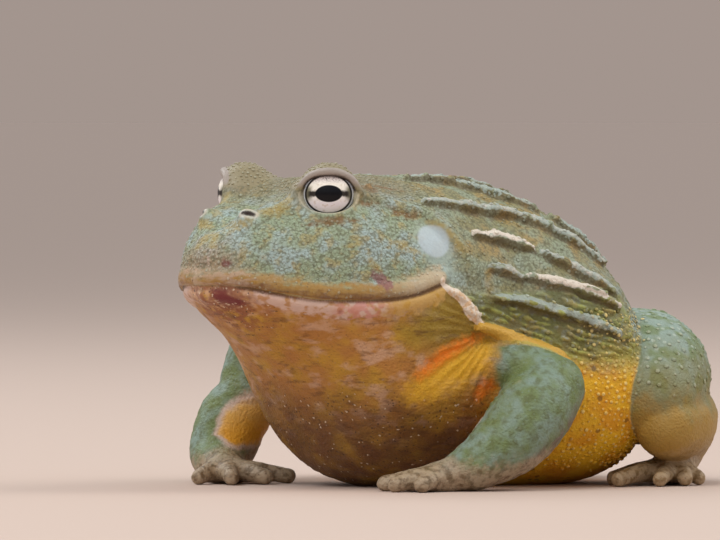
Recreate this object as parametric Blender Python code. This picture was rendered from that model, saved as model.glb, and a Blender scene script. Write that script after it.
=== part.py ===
"""African bullfrog, an adult male at life size: a still model that sits with its head held high.

The frog faces -Y, its left side is +X and it rests on the plane Z = 0. The origin lies on that plane,
under the middle of the belly. Every size below is in millimetres.

Head and trunk are lofted through stations along Y and each limb is a chain of balls. They are turned
into signed distances on a box of voxels, where they blend into one another, and where the lips, lids,
folds, skin ridges and warts are raised on the skin. Each node is then meshed, thinned and cut clear of
its neighbours.
"""
import math

import bmesh
import bpy
import numpy as np
import openvdb
from mathutils import Vector

MM = 0.001
GAP = 0.3
VOXEL = 0.7
BAND_VOXELS = 19
FAR = VOXEL * BAND_VOXELS
BOX_LOW = (-84.0, -100.0, -8.0)
BOX_HIGH = (84.0, 96.0, 104.0)
AXIS_HEIGHT = 45.0
FLAT_PRESS = 0.35
BODY_TRIANGLES = 8000
ARM_TRIANGLES = 1000
THIGH_TRIANGLES = 340
SHANK_TRIANGLES = 280
FOOT_TRIANGLES = 520
KEEP_STRENGTH = 0.00002

# Stations: place on Y, half width, top, height of the widest line, bottom, upper and lower squareness.
TRUNK = (
    (-50, 26, 76, 52, 27, 2.1, 2.0),
    (-44, 35, 84, 50, 11, 2.1, 2.0),
    (-36, 39.5, 87, 48, 4, 2.1, 2.2),
    (-26, 42.5, 89, 46, 0.5, 2.1, 2.3),
    (-15, 45, 90, 43, -1, 2.1, 2.4),
    (0, 49, 90, 40, -1.5, 2.1, 2.3),
    (14, 54, 88.5, 36, -1.5, 2.0, 2.4),
    (27, 57, 84.5, 32, -1.5, 1.85, 2.4),
    (38, 54, 80.5, 31, -1, 1.7, 2.4),
    (47, 46, 73, 31, 1, 1.6, 2.3),
    (55, 37, 62, 31, 5, 1.6, 2.2),
    (62, 28, 52, 31, 9, 1.9, 2.0),
    (69, 20, 45, 30, 13, 2.0, 2.0),
    (76, 12, 37, 27, 17, 2.0, 2.0),
    (80, 5, 31, 25, 20, 2.0, 2.0),
)
HEAD = (
    (-88.5, 2, 69, 67, 65, 2.0, 2.0),
    (-87.5, 7, 71, 66, 60, 2.1, 2.0),
    (-85.5, 12, 73.5, 65, 55.5, 2.2, 2.0),
    (-82.5, 16.5, 77, 64, 53, 2.3, 1.9),
    (-79, 20.5, 80.5, 62, 50.5, 2.4, 1.9),
    (-74, 25, 82.3, 60, 47, 2.4, 1.8),
    (-68, 29, 84.5, 59, 43, 2.4, 1.8),
    (-60, 33.5, 89, 58, 37, 2.4, 1.8),
    (-54, 37, 91, 57.5, 30, 2.4, 1.8),
    (-47, 39, 91.5, 57, 21, 2.4, 1.8),
    (-40, 40.5, 91, 57, 12, 2.4, 1.8),
    (-30, 42, 91, 56, 6, 2.4, 1.8),
    (-20, 43, 90.5, 54, 4, 2.3, 1.9),
    (-10, 41, 89, 52, 8, 2.2, 2.0),
    (0, 34, 82, 52, 22, 2.0, 2.0),
)

# Widths of the fillets where one shape runs into another.
NECK_FILLET = 8.0
EYE_FILLET = 5.0
LID_EDGE_FILLET = 0.8
UPPER_LID_FILLET = 0.5
LIP_FILLET = 2.0
FURROW_FILLET = 0.6
CANTHUS_FILLET = 4.0
NOSTRIL_FILLET = 2.0
SLIT_FILLET = 0.4
FOLD_FILLET = 2.5
JAW_FOLD_FILLET = 1.2
FLANK_FOLD_FILLET = 1.6
RIDGE_FILLET = 1.2
WART_FILLET = 0.5
ARM_FILLET = 3.0
PALM_FILLET = 4.0
DIGIT_FILLET = 2.5
LEG_FILLET = 1.0

# Limbs: rows of x, y, z and radius, from the root out.
UPPER_ARM_LEFT = ((40, -19, 39, 4.5), (44.5, -12, 37.8, 5.6), (49.5, -6, 35, 6.8), (55, -1.5, 29.5, 10.2))
FOREARM_LEFT = ((55, -1.5, 29.5, 10.2), (56.5, -9, 23, 11.5), (55, -17, 14.5, 10.5), (52, -27, 8, 7))
UPPER_ARM_RIGHT = ((-40, -13, 46, 10.5), (-51, -21, 40, 10.5), (-55, -24, 31, 9.5))
FOREARM_RIGHT = ((-53, -27, 25, 9.5), (-57, -30, 18, 10.5), (-57.5, -34, 10, 9.5), (-53, -38.5, 6.5, 7))
PALM_LENGTH = 10
PALM_END_HEIGHT = 4.2
PALM_RADII = (6.5, 5.6)
PALM_FLATNESS = 0.85
HAND_LEFT = {
    "wrist": (52, -27, 7), "heading": 121, "spread": (-52, -20, 10, 42), "lengths": (13, 16, 17, 14),
}
HAND_RIGHT = {
    "wrist": (-53, -38.5, 6.5), "heading": 30, "spread": (-76, -36, 2, 42), "lengths": (19, 17, 17, 14),
}
FINGER_ROOT_BACK = 2.5
FINGER_HEIGHTS = (3.8, 3.6, 2.2)
FINGER_RADII = (3.6, 3.0, 2.3)
THIGH = ((22, 60, 34, 15), (31, 55.5, 32, 20), (43, 47.5, 31, 18.5), (53, 41, 27, 13.3))
SHANK = (
    (58.5, 41.5, 17.8, 9.5), (54, 48, 18.2, 11), (45.5, 57, 19.5, 12.2), (35, 68, 14.5, 9.5),
    (26, 75.5, 9.5, 7.5),
)
TARSUS = ((29.5, 72.2, 7.2, 6.2), (36, 66, 6.5, 6.2), (47, 54.5, 5.5, 6.2))
TARSUS_FLATNESS = 0.9
FOOT_HEADING = -62
TOE_SPREAD = (58, 32, 10, -14, -38)
TOE_LENGTHS = (12, 17, 23, 29, 21)
TOE_HEIGHTS = (4.5, 3.8, 2.2)
TOE_RADII = (3.9, 3.1, 2.2)
DIGIT_ROOT = 0.1
DIGIT_KNUCKLE = 0.5

# Cuts between a limb's nodes: a place on the axis and the axis's direction there.
WRISTS = {"left": ((52, -26, 8.5), (-0.35, -0.85, -0.4)), "right": ((-54, -38, 7), (0.6, -0.65, -0.45))}
ELBOWS = {"left": ((55.2, -3, 28.5), (0.3, -0.35, -0.88)), "right": ((-55, -25, 28.5), (0, -0.35, -0.95))}

# Eyeball, and the opening of its lids as seen along its axis: across and up from the eye's centre.
EYE_AT = (19.2, -56.2, 86.7)
EYE_RADIUS = 8.1
EYE_AXIS = (0.78, -0.62, 0.06)
LID_RADIUS = 9.2
LID_PROUD = 0.9
LID_OPENING = {"half_width": 8.4, "half_height": 5.9, "up": -0.2, "depth": 1.5}
UPPER_LID = ((-9.1, 0.0, 0.8), (-6.6, 4.3, 1.1), (-0.2, 6.3, 1.2), (6.6, 4.4, 1.2), (9.4, 0.2, 0.9))
LOWER_LID = ((-9.1, -0.6, 0.8), (-6.4, -4.8, 0.8), (0, -6.8, 0.9), (6.4, -4.8, 0.8), (9.2, -0.6, 0.8))

# A nostril is a short slit in a low mound.
NOSTRIL_AT = (8.8, -79, 81)
NOSTRIL_MOUND = 2.4
NOSTRIL_LEVEL = -1.2
NOSTRIL_SLIT = ((0.2, -1.9, 0.6, 1.2), (1.7, -0.1, 0.2, 1.5), (2.8, 1.2, -0.4, 1.2))
EAR_AT = (38.8, -32.5, 73.0)
EAR_SIZE = (5.2, 4.8, 1.9)
EAR_LEVEL = -1.1

# Lines on the head's skin, as points near it: x, y and z.
MOUTH = (
    (0, -86, 60), (12.4, -84, 59.7), (20.5, -78, 58), (27.7, -68, 56), (32.2, -61, 55.7),
    (38, -50.7, 55.9), (40.9, -41, 57.3), (42.8, -31, 60.7),
)
UPPER_LIP = {"up": 2.4, "radius": 2.3, "level": -1.3}
LOWER_LIP = {"up": -2.3, "radius": 2.2, "level": -1.5}
LIP_TAPER = (1, 1, 1, 1, 1, 1, 0.95, 0.55)
FURROW_RADIUS = 0.9
FURROW_LEVEL = 0.1
EAR_FOLD = (
    (25, -50, 86, 1.2), (28.9, -41, 83.5, 1.6), (34.9, -30, 79.5, 1.9), (39.4, -24.6, 73, 1.9),
    (42, -21.5, 67, 1.6), (43, -20, 62, 1.0),
)
JAW_FOLD = (
    (43.6, -32.3, 61.4, 1.2), (45, -29.3, 58.2, 1.6), (46.2, -25.4, 54.2, 2.0),
    (46.8, -22.2, 50.6, 1.7),
)
FLANK_FOLD = (
    (45.2, -21, 48, 1.3), (46.5, -14.5, 46.2, 1.7), (48.2, -7.5, 43.9, 1.9), (49.6, -0.5, 41.4, 2.0),
    (50.6, 5.4, 38.4, 2.0), (51.8, 8.8, 35.2, 1.9), (52.6, 11, 31.6, 1.7), (52.6, 12.6, 27.5, 1.0),
)
FLANK_FURROW_DROP = 3.0
FLANK_FURROW = {"radius": 1.3, "level": 0.4, "fillet": 1.5}
CANTHUS = ((10, -79, 80.5, 2.2), (13.5, -70, 83.5, 2.6), (16, -63.5, 87, 2.4))
CANTHUS_LEVEL = -1.2
SNOUT_VALLEY = ((0, -82, 80, 5), (0, -72, 84, 6), (0, -60, 89, 6))
VALLEY_LEVEL = 3.6
VALLEY_FILLET = 3.0
EAR_FOLD_LEVEL = 0.2
JAW_FOLD_LEVEL = 1.0
FLANK_FOLD_LEVEL = 1.3

# Ridges of the back: place on Y and turn up from level about the body's axis, with each one's thickness.
BACK_RIDGES = (
    (1.5, ((-6, 84), (8, 83), (24, 80))),
    (1.7, ((-24, 71), (-12, 73), (2, 70), (10, 62), (19, 55))),
    (1.6, ((24, 53), (33, 45), (42, 34))),
    (1.9, ((-28, 53), (-13, 51), (1, 50), (10, 45), (20, 39), (34, 29))),
    (2.1, ((-16, 38), (-6, 37), (4, 32))),
    (1.9, ((7, 30), (18, 22), (31, 14))),
    (1.9, ((-14, 25), (-8, 24), (-3.5, 21))),
    (2.1, ((-0.5, 21), (8, 18), (17, 15), (29, 9))),
    (1.7, ((-15, 14), (-5.5, 12.5), (5, 8.5), (13.5, 5.5), (28, -1))),
)
OTHER_SIDE_SHIFT = 3.0
RIDGE_LEVEL = 0.7

# Warts of the flank: rows down the side, each a run of low domes.
WART_RADIUS = 2.1
WART_SINK = 0.9
WART_ROWS = 6
WARTS_IN_ROW = 8
WARTS_FROM = 17
WART_STEP = 4.6
WART_STAGGER = 1.9
WART_ROW_SLANT = 0.5
WART_TOP_TURN = -3
WART_TURN_STEP = 6.3

NECK_PLANE = ((0, -18, 50), (0, 1, -0.1))
NECK_PLATE = 160
LIMB_PLATE = 40
JAW_PLATE = {"front": -96, "front_height": 60, "back": -10, "back_height": 62, "half_width": 60}
JAW_MIDDLE = (0, -60, 57)

SKIN_COLOURS = {
    "head": (0.33, 0.42, 0.34), "lower_jaw": (0.55, 0.42, 0.2), "torso": (0.3, 0.33, 0.18),
    "eye": (0.75, 0.75, 0.68), "ear_disc": (0.6, 0.72, 0.75), "upper_arm": (0.27, 0.38, 0.27),
    "forearm": (0.27, 0.38, 0.3), "hand": (0.5, 0.44, 0.38), "thigh": (0.35, 0.42, 0.33),
    "shank": (0.35, 0.42, 0.33), "foot": (0.45, 0.43, 0.36),
}


def whole_voxels(corner):
    return np.round(np.array(corner) / VOXEL).astype(int)


FIRST = whole_voxels(BOX_LOW)
LAST = whole_voxels(BOX_HIGH)
SHAPE = tuple(int(n) for n in LAST - FIRST + 1)
AXES = [np.arange(a, b + 1) * VOXEL for a, b in zip(FIRST, LAST)]


def hermite(table, places, fine):
    """Rows read at the fine places from curves that pass through the table without overshoot."""
    secants = np.diff(table, axis=0) / np.diff(places)[:, None]
    slopes = np.gradient(table, places, axis=0)
    for i in range(len(places)):
        before = secants[max(i - 1, 0)]
        after = secants[min(i, len(secants) - 1)]
        limit = 3 * np.minimum(abs(before), abs(after))
        slopes[i] = np.where(before * after <= 0, 0, np.clip(slopes[i], -limit, limit))
    k = np.clip(np.searchsorted(places, fine, "right") - 1, 0, len(places) - 2)
    span = (places[k + 1] - places[k])[:, None]
    t = (fine[:, None] - places[k][:, None]) / span
    value = (1 + 2 * t) * (1 - t) ** 2 * table[k] + t ** 2 * (3 - 2 * t) * table[k + 1]
    return value + span * (t * (1 - t) ** 2 * slopes[k] - t ** 2 * (1 - t) * slopes[k + 1])


def smooth_path(rows, step):
    """Rows spaced about a step apart along a smooth curve through the given rows."""
    table = np.array(rows, float)
    runs = np.linalg.norm(np.diff(table[:, :3], axis=0), axis=1)
    places = np.concatenate([[0], np.cumsum(runs)])
    count = max(2, int(math.ceil(places[-1] / step)) + 1)
    return hermite(table, places, np.linspace(0, places[-1], count))


def loft(rows, around=72, step=2.5):
    """Signed distance to the closed shape through rows of stations."""
    table = np.array(rows, float)
    places = table[:, 0]
    count = int((places[-1] - places[0]) / step)
    fine = np.unique(np.concatenate([np.linspace(places[0], places[-1], count), places]))
    turn = np.linspace(0, 2 * math.pi, around, endpoint=False)
    rings = []
    for y, station in zip(fine, hermite(table, places, fine)):
        half, top, wide, bottom, upper, lower = station[1:]
        squareness = np.where(np.sin(turn) > 0, upper, lower)
        reach = np.where(np.sin(turn) > 0, top - wide, wide - bottom)
        across = np.sign(np.cos(turn)) * abs(np.cos(turn)) ** (2 / squareness)
        rise = np.sign(np.sin(turn)) * abs(np.sin(turn)) ** (2 / squareness)
        rings.append(np.stack([half * across, np.full(around, y), wide + reach * rise], 1))
    points = np.concatenate(rings + [rings[0].mean(0)[None], rings[-1].mean(0)[None]])
    this = np.arange(around)
    after = (this + 1) % around
    last = (len(rings) - 1) * around
    side = np.stack([this, after, after + around, this + around], 1)
    sides = [ring * around + side for ring in range(len(rings) - 1)]
    start_cap = np.stack([after, this, np.full(around, len(points) - 2)], 1)
    end_cap = np.stack([last + this, last + after, np.full(around, len(points) - 1)], 1)
    grid = openvdb.FloatGrid.createLevelSetFromPolygons(
        points.astype(np.float32),
        triangles=np.concatenate([start_cap, end_cap]).astype(np.uint32),
        quads=np.concatenate(sides).astype(np.uint32),
        transform=openvdb.createLinearTransform(VOXEL),
        halfWidth=BAND_VOXELS,
    )
    field = np.empty(SHAPE, np.float32)
    grid.copyToArray(field, ijk=tuple(int(n) for n in FIRST))
    return field


def window(low, high):
    """The slices, and the open coordinate arrays, of the voxels between two corners."""
    parts = []
    for axis, a, b in zip(AXES, low, high):
        start, stop = np.searchsorted(axis, (a, b))
        parts.append(slice(max(int(start) - 1, 0), min(int(stop) + 1, len(axis))))
    x, y, z = (axis[part] for axis, part in zip(AXES, parts))
    return tuple(parts), (x[:, None, None], y[None, :, None], z[None, None, :])


def chain(rows, step=2.0, flatten=1.0, reach=8.0):
    """A window, with the distances there to a chain of balls; flatten squashes it upright."""
    path = smooth_path(rows, step)
    spread = path[:, 3:4] + reach
    part, (x, y, z) = window((path[:, :3] - spread).min(0), (path[:, :3] + spread).max(0))
    near = np.full(np.broadcast_shapes(x.shape, y.shape, z.shape), FAR, np.float32)
    for (ax, ay, az, ar), (bx, by, bz, br) in zip(path[:-1], path[1:]):
        dx, dy, dz = bx - ax, by - ay, (bz - az) / flatten
        px, py, pz = x - ax, y - ay, (z - az) / flatten
        along = np.clip((px * dx + py * dy + pz * dz) / (dx * dx + dy * dy + dz * dz + 1e-9), 0, 1)
        gap = np.sqrt((px - along * dx) ** 2 + (py - along * dy) ** 2 + (pz - along * dz) ** 2)
        near = np.minimum(near, (gap - ar - along * (br - ar)).astype(np.float32))
    return part, near


def ball(centre, radius, reach=8.0):
    return chain([(*centre, radius), (centre[0] + 0.01, centre[1], centre[2], radius)], reach=reach)


def blend(a, b, width):
    """Union with a fillet of about the given width."""
    h = np.maximum(width - abs(a - b), 0) / width
    return np.minimum(a, b) - h * h * width / 4


def join(field, shape, width):
    """Adds a shape to a field, with a fillet."""
    part, near = shape
    field[part] = blend(field[part], near, width)


def carve(field, shape, width):
    """Takes a shape out of a field, with a rounded edge."""
    part, near = shape
    field[part] = -blend(-field[part], near, width)


def read(field, points):
    """Field values at points, by linear interpolation."""
    place = np.clip((np.asarray(points, float) / VOXEL - FIRST), 0, np.array(SHAPE) - 1.001)
    cell = place.astype(int)
    part = place - cell
    value = 0
    for corner in np.ndindex(2, 2, 2):
        weight = np.prod(np.where(corner, part, 1 - part), axis=1)
        i, j, k = (cell + corner).T
        value = value + weight * field[i, j, k]
    return value


def slope(field, points):
    """Unit vectors out of the skin at points."""
    points = np.asarray(points, float)
    parts = [read(field, points + step) - read(field, points - step) for step in np.eye(3) * VOXEL]
    vectors = np.stack(parts, 1)
    return vectors / (np.linalg.norm(vectors, axis=1)[:, None] + 1e-9)


def settle(field, points, level=0.0):
    """Points moved onto the skin, or to a level above it."""
    points = np.array(points, float)
    for _ in range(6):
        points = points - slope(field, points) * (read(field, points) - level)[:, None]
    return points


def raise_line(field, rows, level, width):
    """Adds a rounded ridge along rows of x, y, z and radius, its middle at a level above the skin."""
    path = smooth_path(rows, 2.0)
    path[:, :3] = settle(field, path[:, :3], level)
    join(field, chain(path, reach=4.0), width)


def carve_line(field, rows, level, width):
    """Takes a rounded furrow out of the skin along rows of x, y, z and radius."""
    path = smooth_path(rows, 2.0)
    path[:, :3] = settle(field, path[:, :3], level)
    carve(field, chain(path, reach=3.0), width)


def skin_point(field, side, y, turn):
    """Where a ray from the body's axis, turned up from level by an angle, leaves the skin."""
    way = np.array([side * math.cos(math.radians(turn)), 0, math.sin(math.radians(turn))])
    steps = np.arange(10, 80, 0.5)
    points = np.array([0, y, AXIS_HEIGHT]) + steps[:, None] * way
    return points[np.argmax(read(field, points) > 0)]


def on_side(side, rows):
    """Rows of the left side, or their mirror image."""
    return [(side * row[0], *row[1:]) for row in rows]


def eye_frame(side):
    """An eye's centre, and the unit vectors across it, up it and out along its axis."""
    out = Vector((side * EYE_AXIS[0], *EYE_AXIS[1:])).normalized()
    across = Vector((0, 0, 1)).cross(out).normalized()
    centre = np.array((side * EYE_AT[0], *EYE_AT[1:]))
    return centre, np.array(across), np.array(out.cross(across)), np.array(out)


def lid_rim(side, rows):
    """A rolled edge of skin lying on the eyeball along rows of across, up and radius."""
    centre, across, up, out = eye_frame(side)
    path = []
    for a, u, radius in rows:
        lift = math.sqrt((EYE_RADIUS + LID_PROUD) ** 2 - min(a * a + u * u, EYE_RADIUS ** 2))
        path.append((*(centre + side * a * across + u * up + lift * out), radius))
    return chain(path, step=1.2, reach=3)


def lid_opening(side):
    """The space in front of the eyeball between its lids."""
    centre, across, up, out = eye_frame(side)
    part, (x, y, z) = window(centre - 2 * LID_RADIUS, centre + 2 * LID_RADIUS)
    x, y, z = x - centre[0], y - centre[1], z - centre[2]
    along = x * across[0] + y * across[1] + z * across[2]
    rise = x * up[0] + y * up[1] + z * up[2] - LID_OPENING["up"]
    ahead = x * out[0] + y * out[1] + z * out[2]
    ellipse = np.sqrt((along / LID_OPENING["half_width"]) ** 2 + (rise / LID_OPENING["half_height"]) ** 2)
    return part, np.maximum((ellipse - 1) * LID_OPENING["half_height"], LID_OPENING["depth"] - ahead)


def eyes_on(field):
    for side in (1, -1):
        join(field, ball((side * EYE_AT[0], *EYE_AT[1:]), LID_RADIUS), EYE_FILLET)
        carve(field, lid_opening(side), LID_EDGE_FILLET)
        join(field, lid_rim(side, UPPER_LID), UPPER_LID_FILLET)
        join(field, lid_rim(side, LOWER_LID), LID_EDGE_FILLET)


def lips_on(field):
    """Rolled lips above and below the line of the mouth, and the line pressed in between them."""
    for side in (1, -1):
        line = on_side(side, MOUTH)
        for lip in (UPPER_LIP, LOWER_LIP):
            rows = []
            for (x, y, z), share in zip(line, LIP_TAPER):
                rows.append((x, y, z + lip["up"], lip["radius"] * share))
            raise_line(field, rows, lip["level"], LIP_FILLET)
        carve_line(field, [(*point, FURROW_RADIUS) for point in line], FURROW_LEVEL, FURROW_FILLET)


def face_on(field):
    carve_line(field, SNOUT_VALLEY, VALLEY_LEVEL, VALLEY_FILLET)
    for side in (1, -1):
        raise_line(field, on_side(side, CANTHUS), CANTHUS_LEVEL, CANTHUS_FILLET)
        mound = settle(field, on_side(side, [NOSTRIL_AT]), NOSTRIL_LEVEL)[0]
        join(field, ball(mound, NOSTRIL_MOUND), NOSTRIL_FILLET)
        slit = [(*(mound + (side * x, y, z)), radius) for x, y, z, radius in NOSTRIL_SLIT]
        carve_line(field, slit, FURROW_LEVEL, SLIT_FILLET)
        raise_line(field, on_side(side, EAR_FOLD), EAR_FOLD_LEVEL, FOLD_FILLET)
        raise_line(field, on_side(side, JAW_FOLD), JAW_FOLD_LEVEL, JAW_FOLD_FILLET)


def ridges_on(field):
    """Long folds of skin along the back, those of the other side a little out of step."""
    base = field.copy()
    for side in (1, -1):
        for thickness, points in BACK_RIDGES:
            shift = OTHER_SIDE_SHIFT if side < 0 else 0
            spots = [skin_point(base, side, y + shift, turn) for y, turn in points]
            rows = [(*spot, thickness) for spot in spots]
            rows[0] = (*spots[0], 0.5 * thickness)
            rows[-1] = (*spots[-1], 0.5 * thickness)
            path = smooth_path(rows, 2.0)
            path[:, :3] = settle(base, path[:, :3], RIDGE_LEVEL)
            join(field, chain(path, reach=4.0), RIDGE_FILLET)


def warts_on(field):
    """Rows of low domes on both flanks."""
    base = field.copy()
    for side in (1, -1):
        for row in range(WART_ROWS):
            for place in range(WARTS_IN_ROW):
                y = WARTS_FROM + WART_STEP * place + WART_STAGGER * (row % 2) - WART_ROW_SLANT * row
                turn = WART_TOP_TURN - WART_TURN_STEP * row + 2.0 * math.sin(3.1 * place + row)
                spot = settle(base, [skin_point(base, side, y, turn)], -WART_SINK)[0]
                radius = WART_RADIUS * (0.86 + 0.14 * math.cos(2.3 * place + 1.7 * row))
                join(field, ball(spot, radius, 3.0), WART_FILLET)


def body_field():
    field = blend(loft(TRUNK), loft(HEAD), NECK_FILLET)
    eyes_on(field)
    face_on(field)
    lips_on(field)
    for side in (1, -1):
        raise_line(field, on_side(side, FLANK_FOLD), FLANK_FOLD_LEVEL, FLANK_FOLD_FILLET)
        furrow = [(x, y, z - FLANK_FURROW_DROP, FLANK_FURROW["radius"]) for x, y, z, _ in FLANK_FOLD[:-3]]
        carve_line(field, on_side(side, furrow), FLANK_FURROW["level"], FLANK_FURROW["fillet"])
    ridges_on(field)
    warts_on(field)
    return field


def empty_field():
    return np.full(SHAPE, FAR, np.float32)


def digit(start, angle, length, heights, radii, back=0.0):
    """A finger or toe along the ground from start, as a chain from root over knuckle to tip."""
    way = np.array([math.cos(angle), math.sin(angle)])
    marks = (DIGIT_ROOT * length - back, DIGIT_KNUCKLE * length, length)
    return chain([(*(start + way * mark), z, r) for mark, z, r in zip(marks, heights, radii)])


def hand_on(field, hand):
    """Palm and four fingers spread from the wrist, low on the ground."""
    wrist = np.array(hand["wrist"], float)
    heading = -math.radians(hand["heading"])
    palm_end = wrist[:2] + PALM_LENGTH * np.array([math.cos(heading), math.sin(heading)])
    palm = [(*wrist, PALM_RADII[0]), (*palm_end, PALM_END_HEIGHT, PALM_RADII[1])]
    join(field, chain(palm, flatten=PALM_FLATNESS), PALM_FILLET)
    for turn, length in zip(hand["spread"], hand["lengths"]):
        angle = heading - math.radians(turn)
        finger = digit(palm_end, angle, length, FINGER_HEIGHTS, FINGER_RADII, FINGER_ROOT_BACK)
        join(field, finger, DIGIT_FILLET)


def arm_field(upper, fore, hand):
    field = empty_field()
    join(field, chain(upper), ARM_FILLET)
    join(field, chain(fore), ARM_FILLET)
    hand_on(field, hand)
    return field


def limb_field(rows):
    field = empty_field()
    join(field, chain(rows), LEG_FILLET)
    return field


def foot_field(side):
    field = empty_field()
    join(field, chain(on_side(side, TARSUS), flatten=TARSUS_FLATNESS), LEG_FILLET)
    start = (side * TARSUS[-1][0], TARSUS[-1][1])
    for turn, length in zip(TOE_SPREAD, TOE_LENGTHS):
        angle = math.radians(FOOT_HEADING + turn)
        angle = angle if side > 0 else math.pi - angle
        join(field, digit(start, angle, length, TOE_HEIGHTS, TOE_RADII), DIGIT_FILLET)
    return field


def fine_spots():
    """Where the face needs small facets: x, y, z and how far around."""
    spots = [(*EYE_AT, 12), (*NOSTRIL_AT, 6), (*EAR_AT, 7)]
    spots += [(*point, 5) for point in MOUTH]
    spots += [(x, y, z, 4) for x, y, z, _ in JAW_FOLD]
    return on_side(1, spots) + on_side(-1, spots)


def on_the_ground(field):
    return np.maximum(field, -AXES[2][None, None, :]).astype(np.float32)


def add_object(name, mesh):
    obj = bpy.data.objects.new(name, mesh)
    bpy.context.scene.collection.objects.link(obj)
    return obj


def apply_modifiers(obj):
    graph = bpy.context.evaluated_depsgraph_get()
    mesh = bpy.data.meshes.new_from_object(obj.evaluated_get(graph))
    obj.modifiers.clear()
    obj.data = mesh
    return obj


def mark_fine(obj, spots):
    """A vertex group that keeps the mesh finer around spots."""
    places = np.array([vertex.co for vertex in obj.data.vertices]) / MM
    weight = np.zeros(len(places))
    for x, y, z, reach in spots:
        far = np.linalg.norm(places - (x, y, z), axis=1) / reach
        weight = np.maximum(weight, np.clip(2 - 2 * far, 0, 1))
    group = obj.vertex_groups.new(name="fine")
    for index in np.flatnonzero(weight):
        group.add([int(index)], float(weight[index]), "REPLACE")
    return group.name


def mesh_object(name, field, triangles, spots=()):
    """A thinned mesh of the skin, with its flats pressed level with the ground."""
    grid = openvdb.FloatGrid(FAR)
    grid.transform = openvdb.createLinearTransform(VOXEL)
    grid.copyFromArray(on_the_ground(field), ijk=tuple(int(n) for n in FIRST))
    points, quads = grid.convertToQuads(0)
    mesh = bpy.data.meshes.new(name)
    mesh.from_pydata(points * MM, [], quads)
    obj = add_object(name, mesh)
    thin = obj.modifiers.new("thin", "DECIMATE")
    thin.ratio = triangles / (2 * len(quads))
    if spots:
        thin.vertex_group = mark_fine(obj, spots)
        thin.invert_vertex_group = True
        thin.vertex_group_factor = KEEP_STRENGTH
    apply_modifiers(obj)
    for vertex in obj.data.vertices:
        if vertex.co.z < FLAT_PRESS * MM:
            vertex.co.z = 0
    return obj


def sphere_object(name, centre, radii, turn, segments, rings):
    """A ball, or a lens turned from the Z axis, as a closed mesh."""
    shape = bmesh.new()
    bmesh.ops.create_uvsphere(shape, u_segments=segments, v_segments=rings, radius=1)
    bmesh.ops.scale(shape, vec=Vector(radii) * MM, verts=shape.verts)
    bmesh.ops.rotate(shape, cent=(0, 0, 0), matrix=turn.to_matrix(), verts=shape.verts)
    bmesh.ops.translate(shape, vec=Vector(centre) * MM, verts=shape.verts)
    mesh = bpy.data.meshes.new(name)
    shape.to_mesh(mesh)
    shape.free()
    return add_object(name, mesh)


def swollen(obj, by=GAP):
    """A copy of an object with its surface moved out, to cut its neighbours clear of it."""
    mesh = obj.data.copy()
    for vertex, normal in zip(mesh.vertices, [vertex.normal.copy() for vertex in mesh.vertices]):
        vertex.co += normal * by * MM
    return add_object("cutter", mesh)


def shells(mesh):
    """The mesh's closed surfaces, each as a set of face indices with its volume, largest first."""
    shape = bmesh.new()
    shape.from_mesh(mesh)
    shape.faces.ensure_lookup_table()
    left = set(range(len(shape.faces)))
    found = []
    while left:
        group = {left.pop()}
        edge = list(group)
        while edge:
            face = shape.faces[edge.pop()]
            for other in {f.index for side in face.edges for f in side.link_faces} & left:
                left.discard(other)
                group.add(other)
                edge.append(other)
        volume = 0
        for index in group:
            corners = [vertex.co for vertex in shape.faces[index].verts]
            for b, c in zip(corners[1:], corners[2:]):
                volume += corners[0].dot(b.cross(c)) / 6
        found.append((volume, group))
    shape.free()
    return sorted(found, key=lambda item: -item[0])


def keep_faces(mesh, group):
    shape = bmesh.new()
    shape.from_mesh(mesh)
    shape.faces.ensure_lookup_table()
    bmesh.ops.delete(shape, geom=[face for face in shape.faces if face.index not in group], context="FACES")
    kept = bpy.data.meshes.new(mesh.name)
    shape.to_mesh(kept)
    shape.free()
    return kept


def cut(obj, cutters):
    """Takes cutters out of an object and keeps its largest closed surface."""
    for cutter in cutters:
        boolean = obj.modifiers.new("cut", "BOOLEAN")
        boolean.operation = "DIFFERENCE"
        boolean.solver = "EXACT"
        boolean.object = cutter
        apply_modifiers(obj)
    obj.data = keep_faces(obj.data, shells(obj.data)[0][1])
    return obj


def plate(place, normal, size=LIMB_PLATE):
    """A thin square plate across a limb or the neck."""
    shape = bmesh.new()
    bmesh.ops.create_cube(shape, size=1)
    bmesh.ops.scale(shape, vec=Vector((size, size, GAP)) * MM, verts=shape.verts)
    turn = Vector(normal).to_track_quat("Z", "Y").to_matrix()
    bmesh.ops.rotate(shape, cent=(0, 0, 0), matrix=turn, verts=shape.verts)
    bmesh.ops.translate(shape, vec=Vector(place) * MM, verts=shape.verts)
    mesh = bpy.data.meshes.new("plate")
    shape.to_mesh(mesh)
    shape.free()
    return add_object("plate", mesh)


def jaw_plate():
    """A thin sheet along the line of the mouth, level across the head and on back to the neck."""
    front = (JAW_PLATE["front"], JAW_PLATE["front_height"])
    back = (JAW_PLATE["back"], JAW_PLATE["back_height"])
    line = np.array([front] + [(y, z) for _, y, z in MOUTH] + [back], float)
    half = JAW_PLATE["half_width"]
    corners = [(x, lift) for x in (-half, half) for lift in (-GAP / 2, GAP / 2)]
    shape = bmesh.new()
    grid = []
    for y, z in hermite(line, line[:, 0], np.linspace(front[0], back[0], 30)):
        grid.append([shape.verts.new(Vector((x, y, z + lift)) * MM) for x, lift in corners])
    for (a, b, c, d), (e, f, g, h) in zip(grid[:-1], grid[1:]):
        for corners in ((a, e, g, c), (b, d, h, f), (a, b, f, e), (c, g, h, d)):
            shape.faces.new(corners)
    for a, b, c, d in (grid[0], grid[-1]):
        shape.faces.new((a, b, d, c))
    bmesh.ops.recalc_face_normals(shape, faces=shape.faces)
    mesh = bpy.data.meshes.new("plate")
    shape.to_mesh(mesh)
    shape.free()
    return add_object("plate", mesh)


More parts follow.
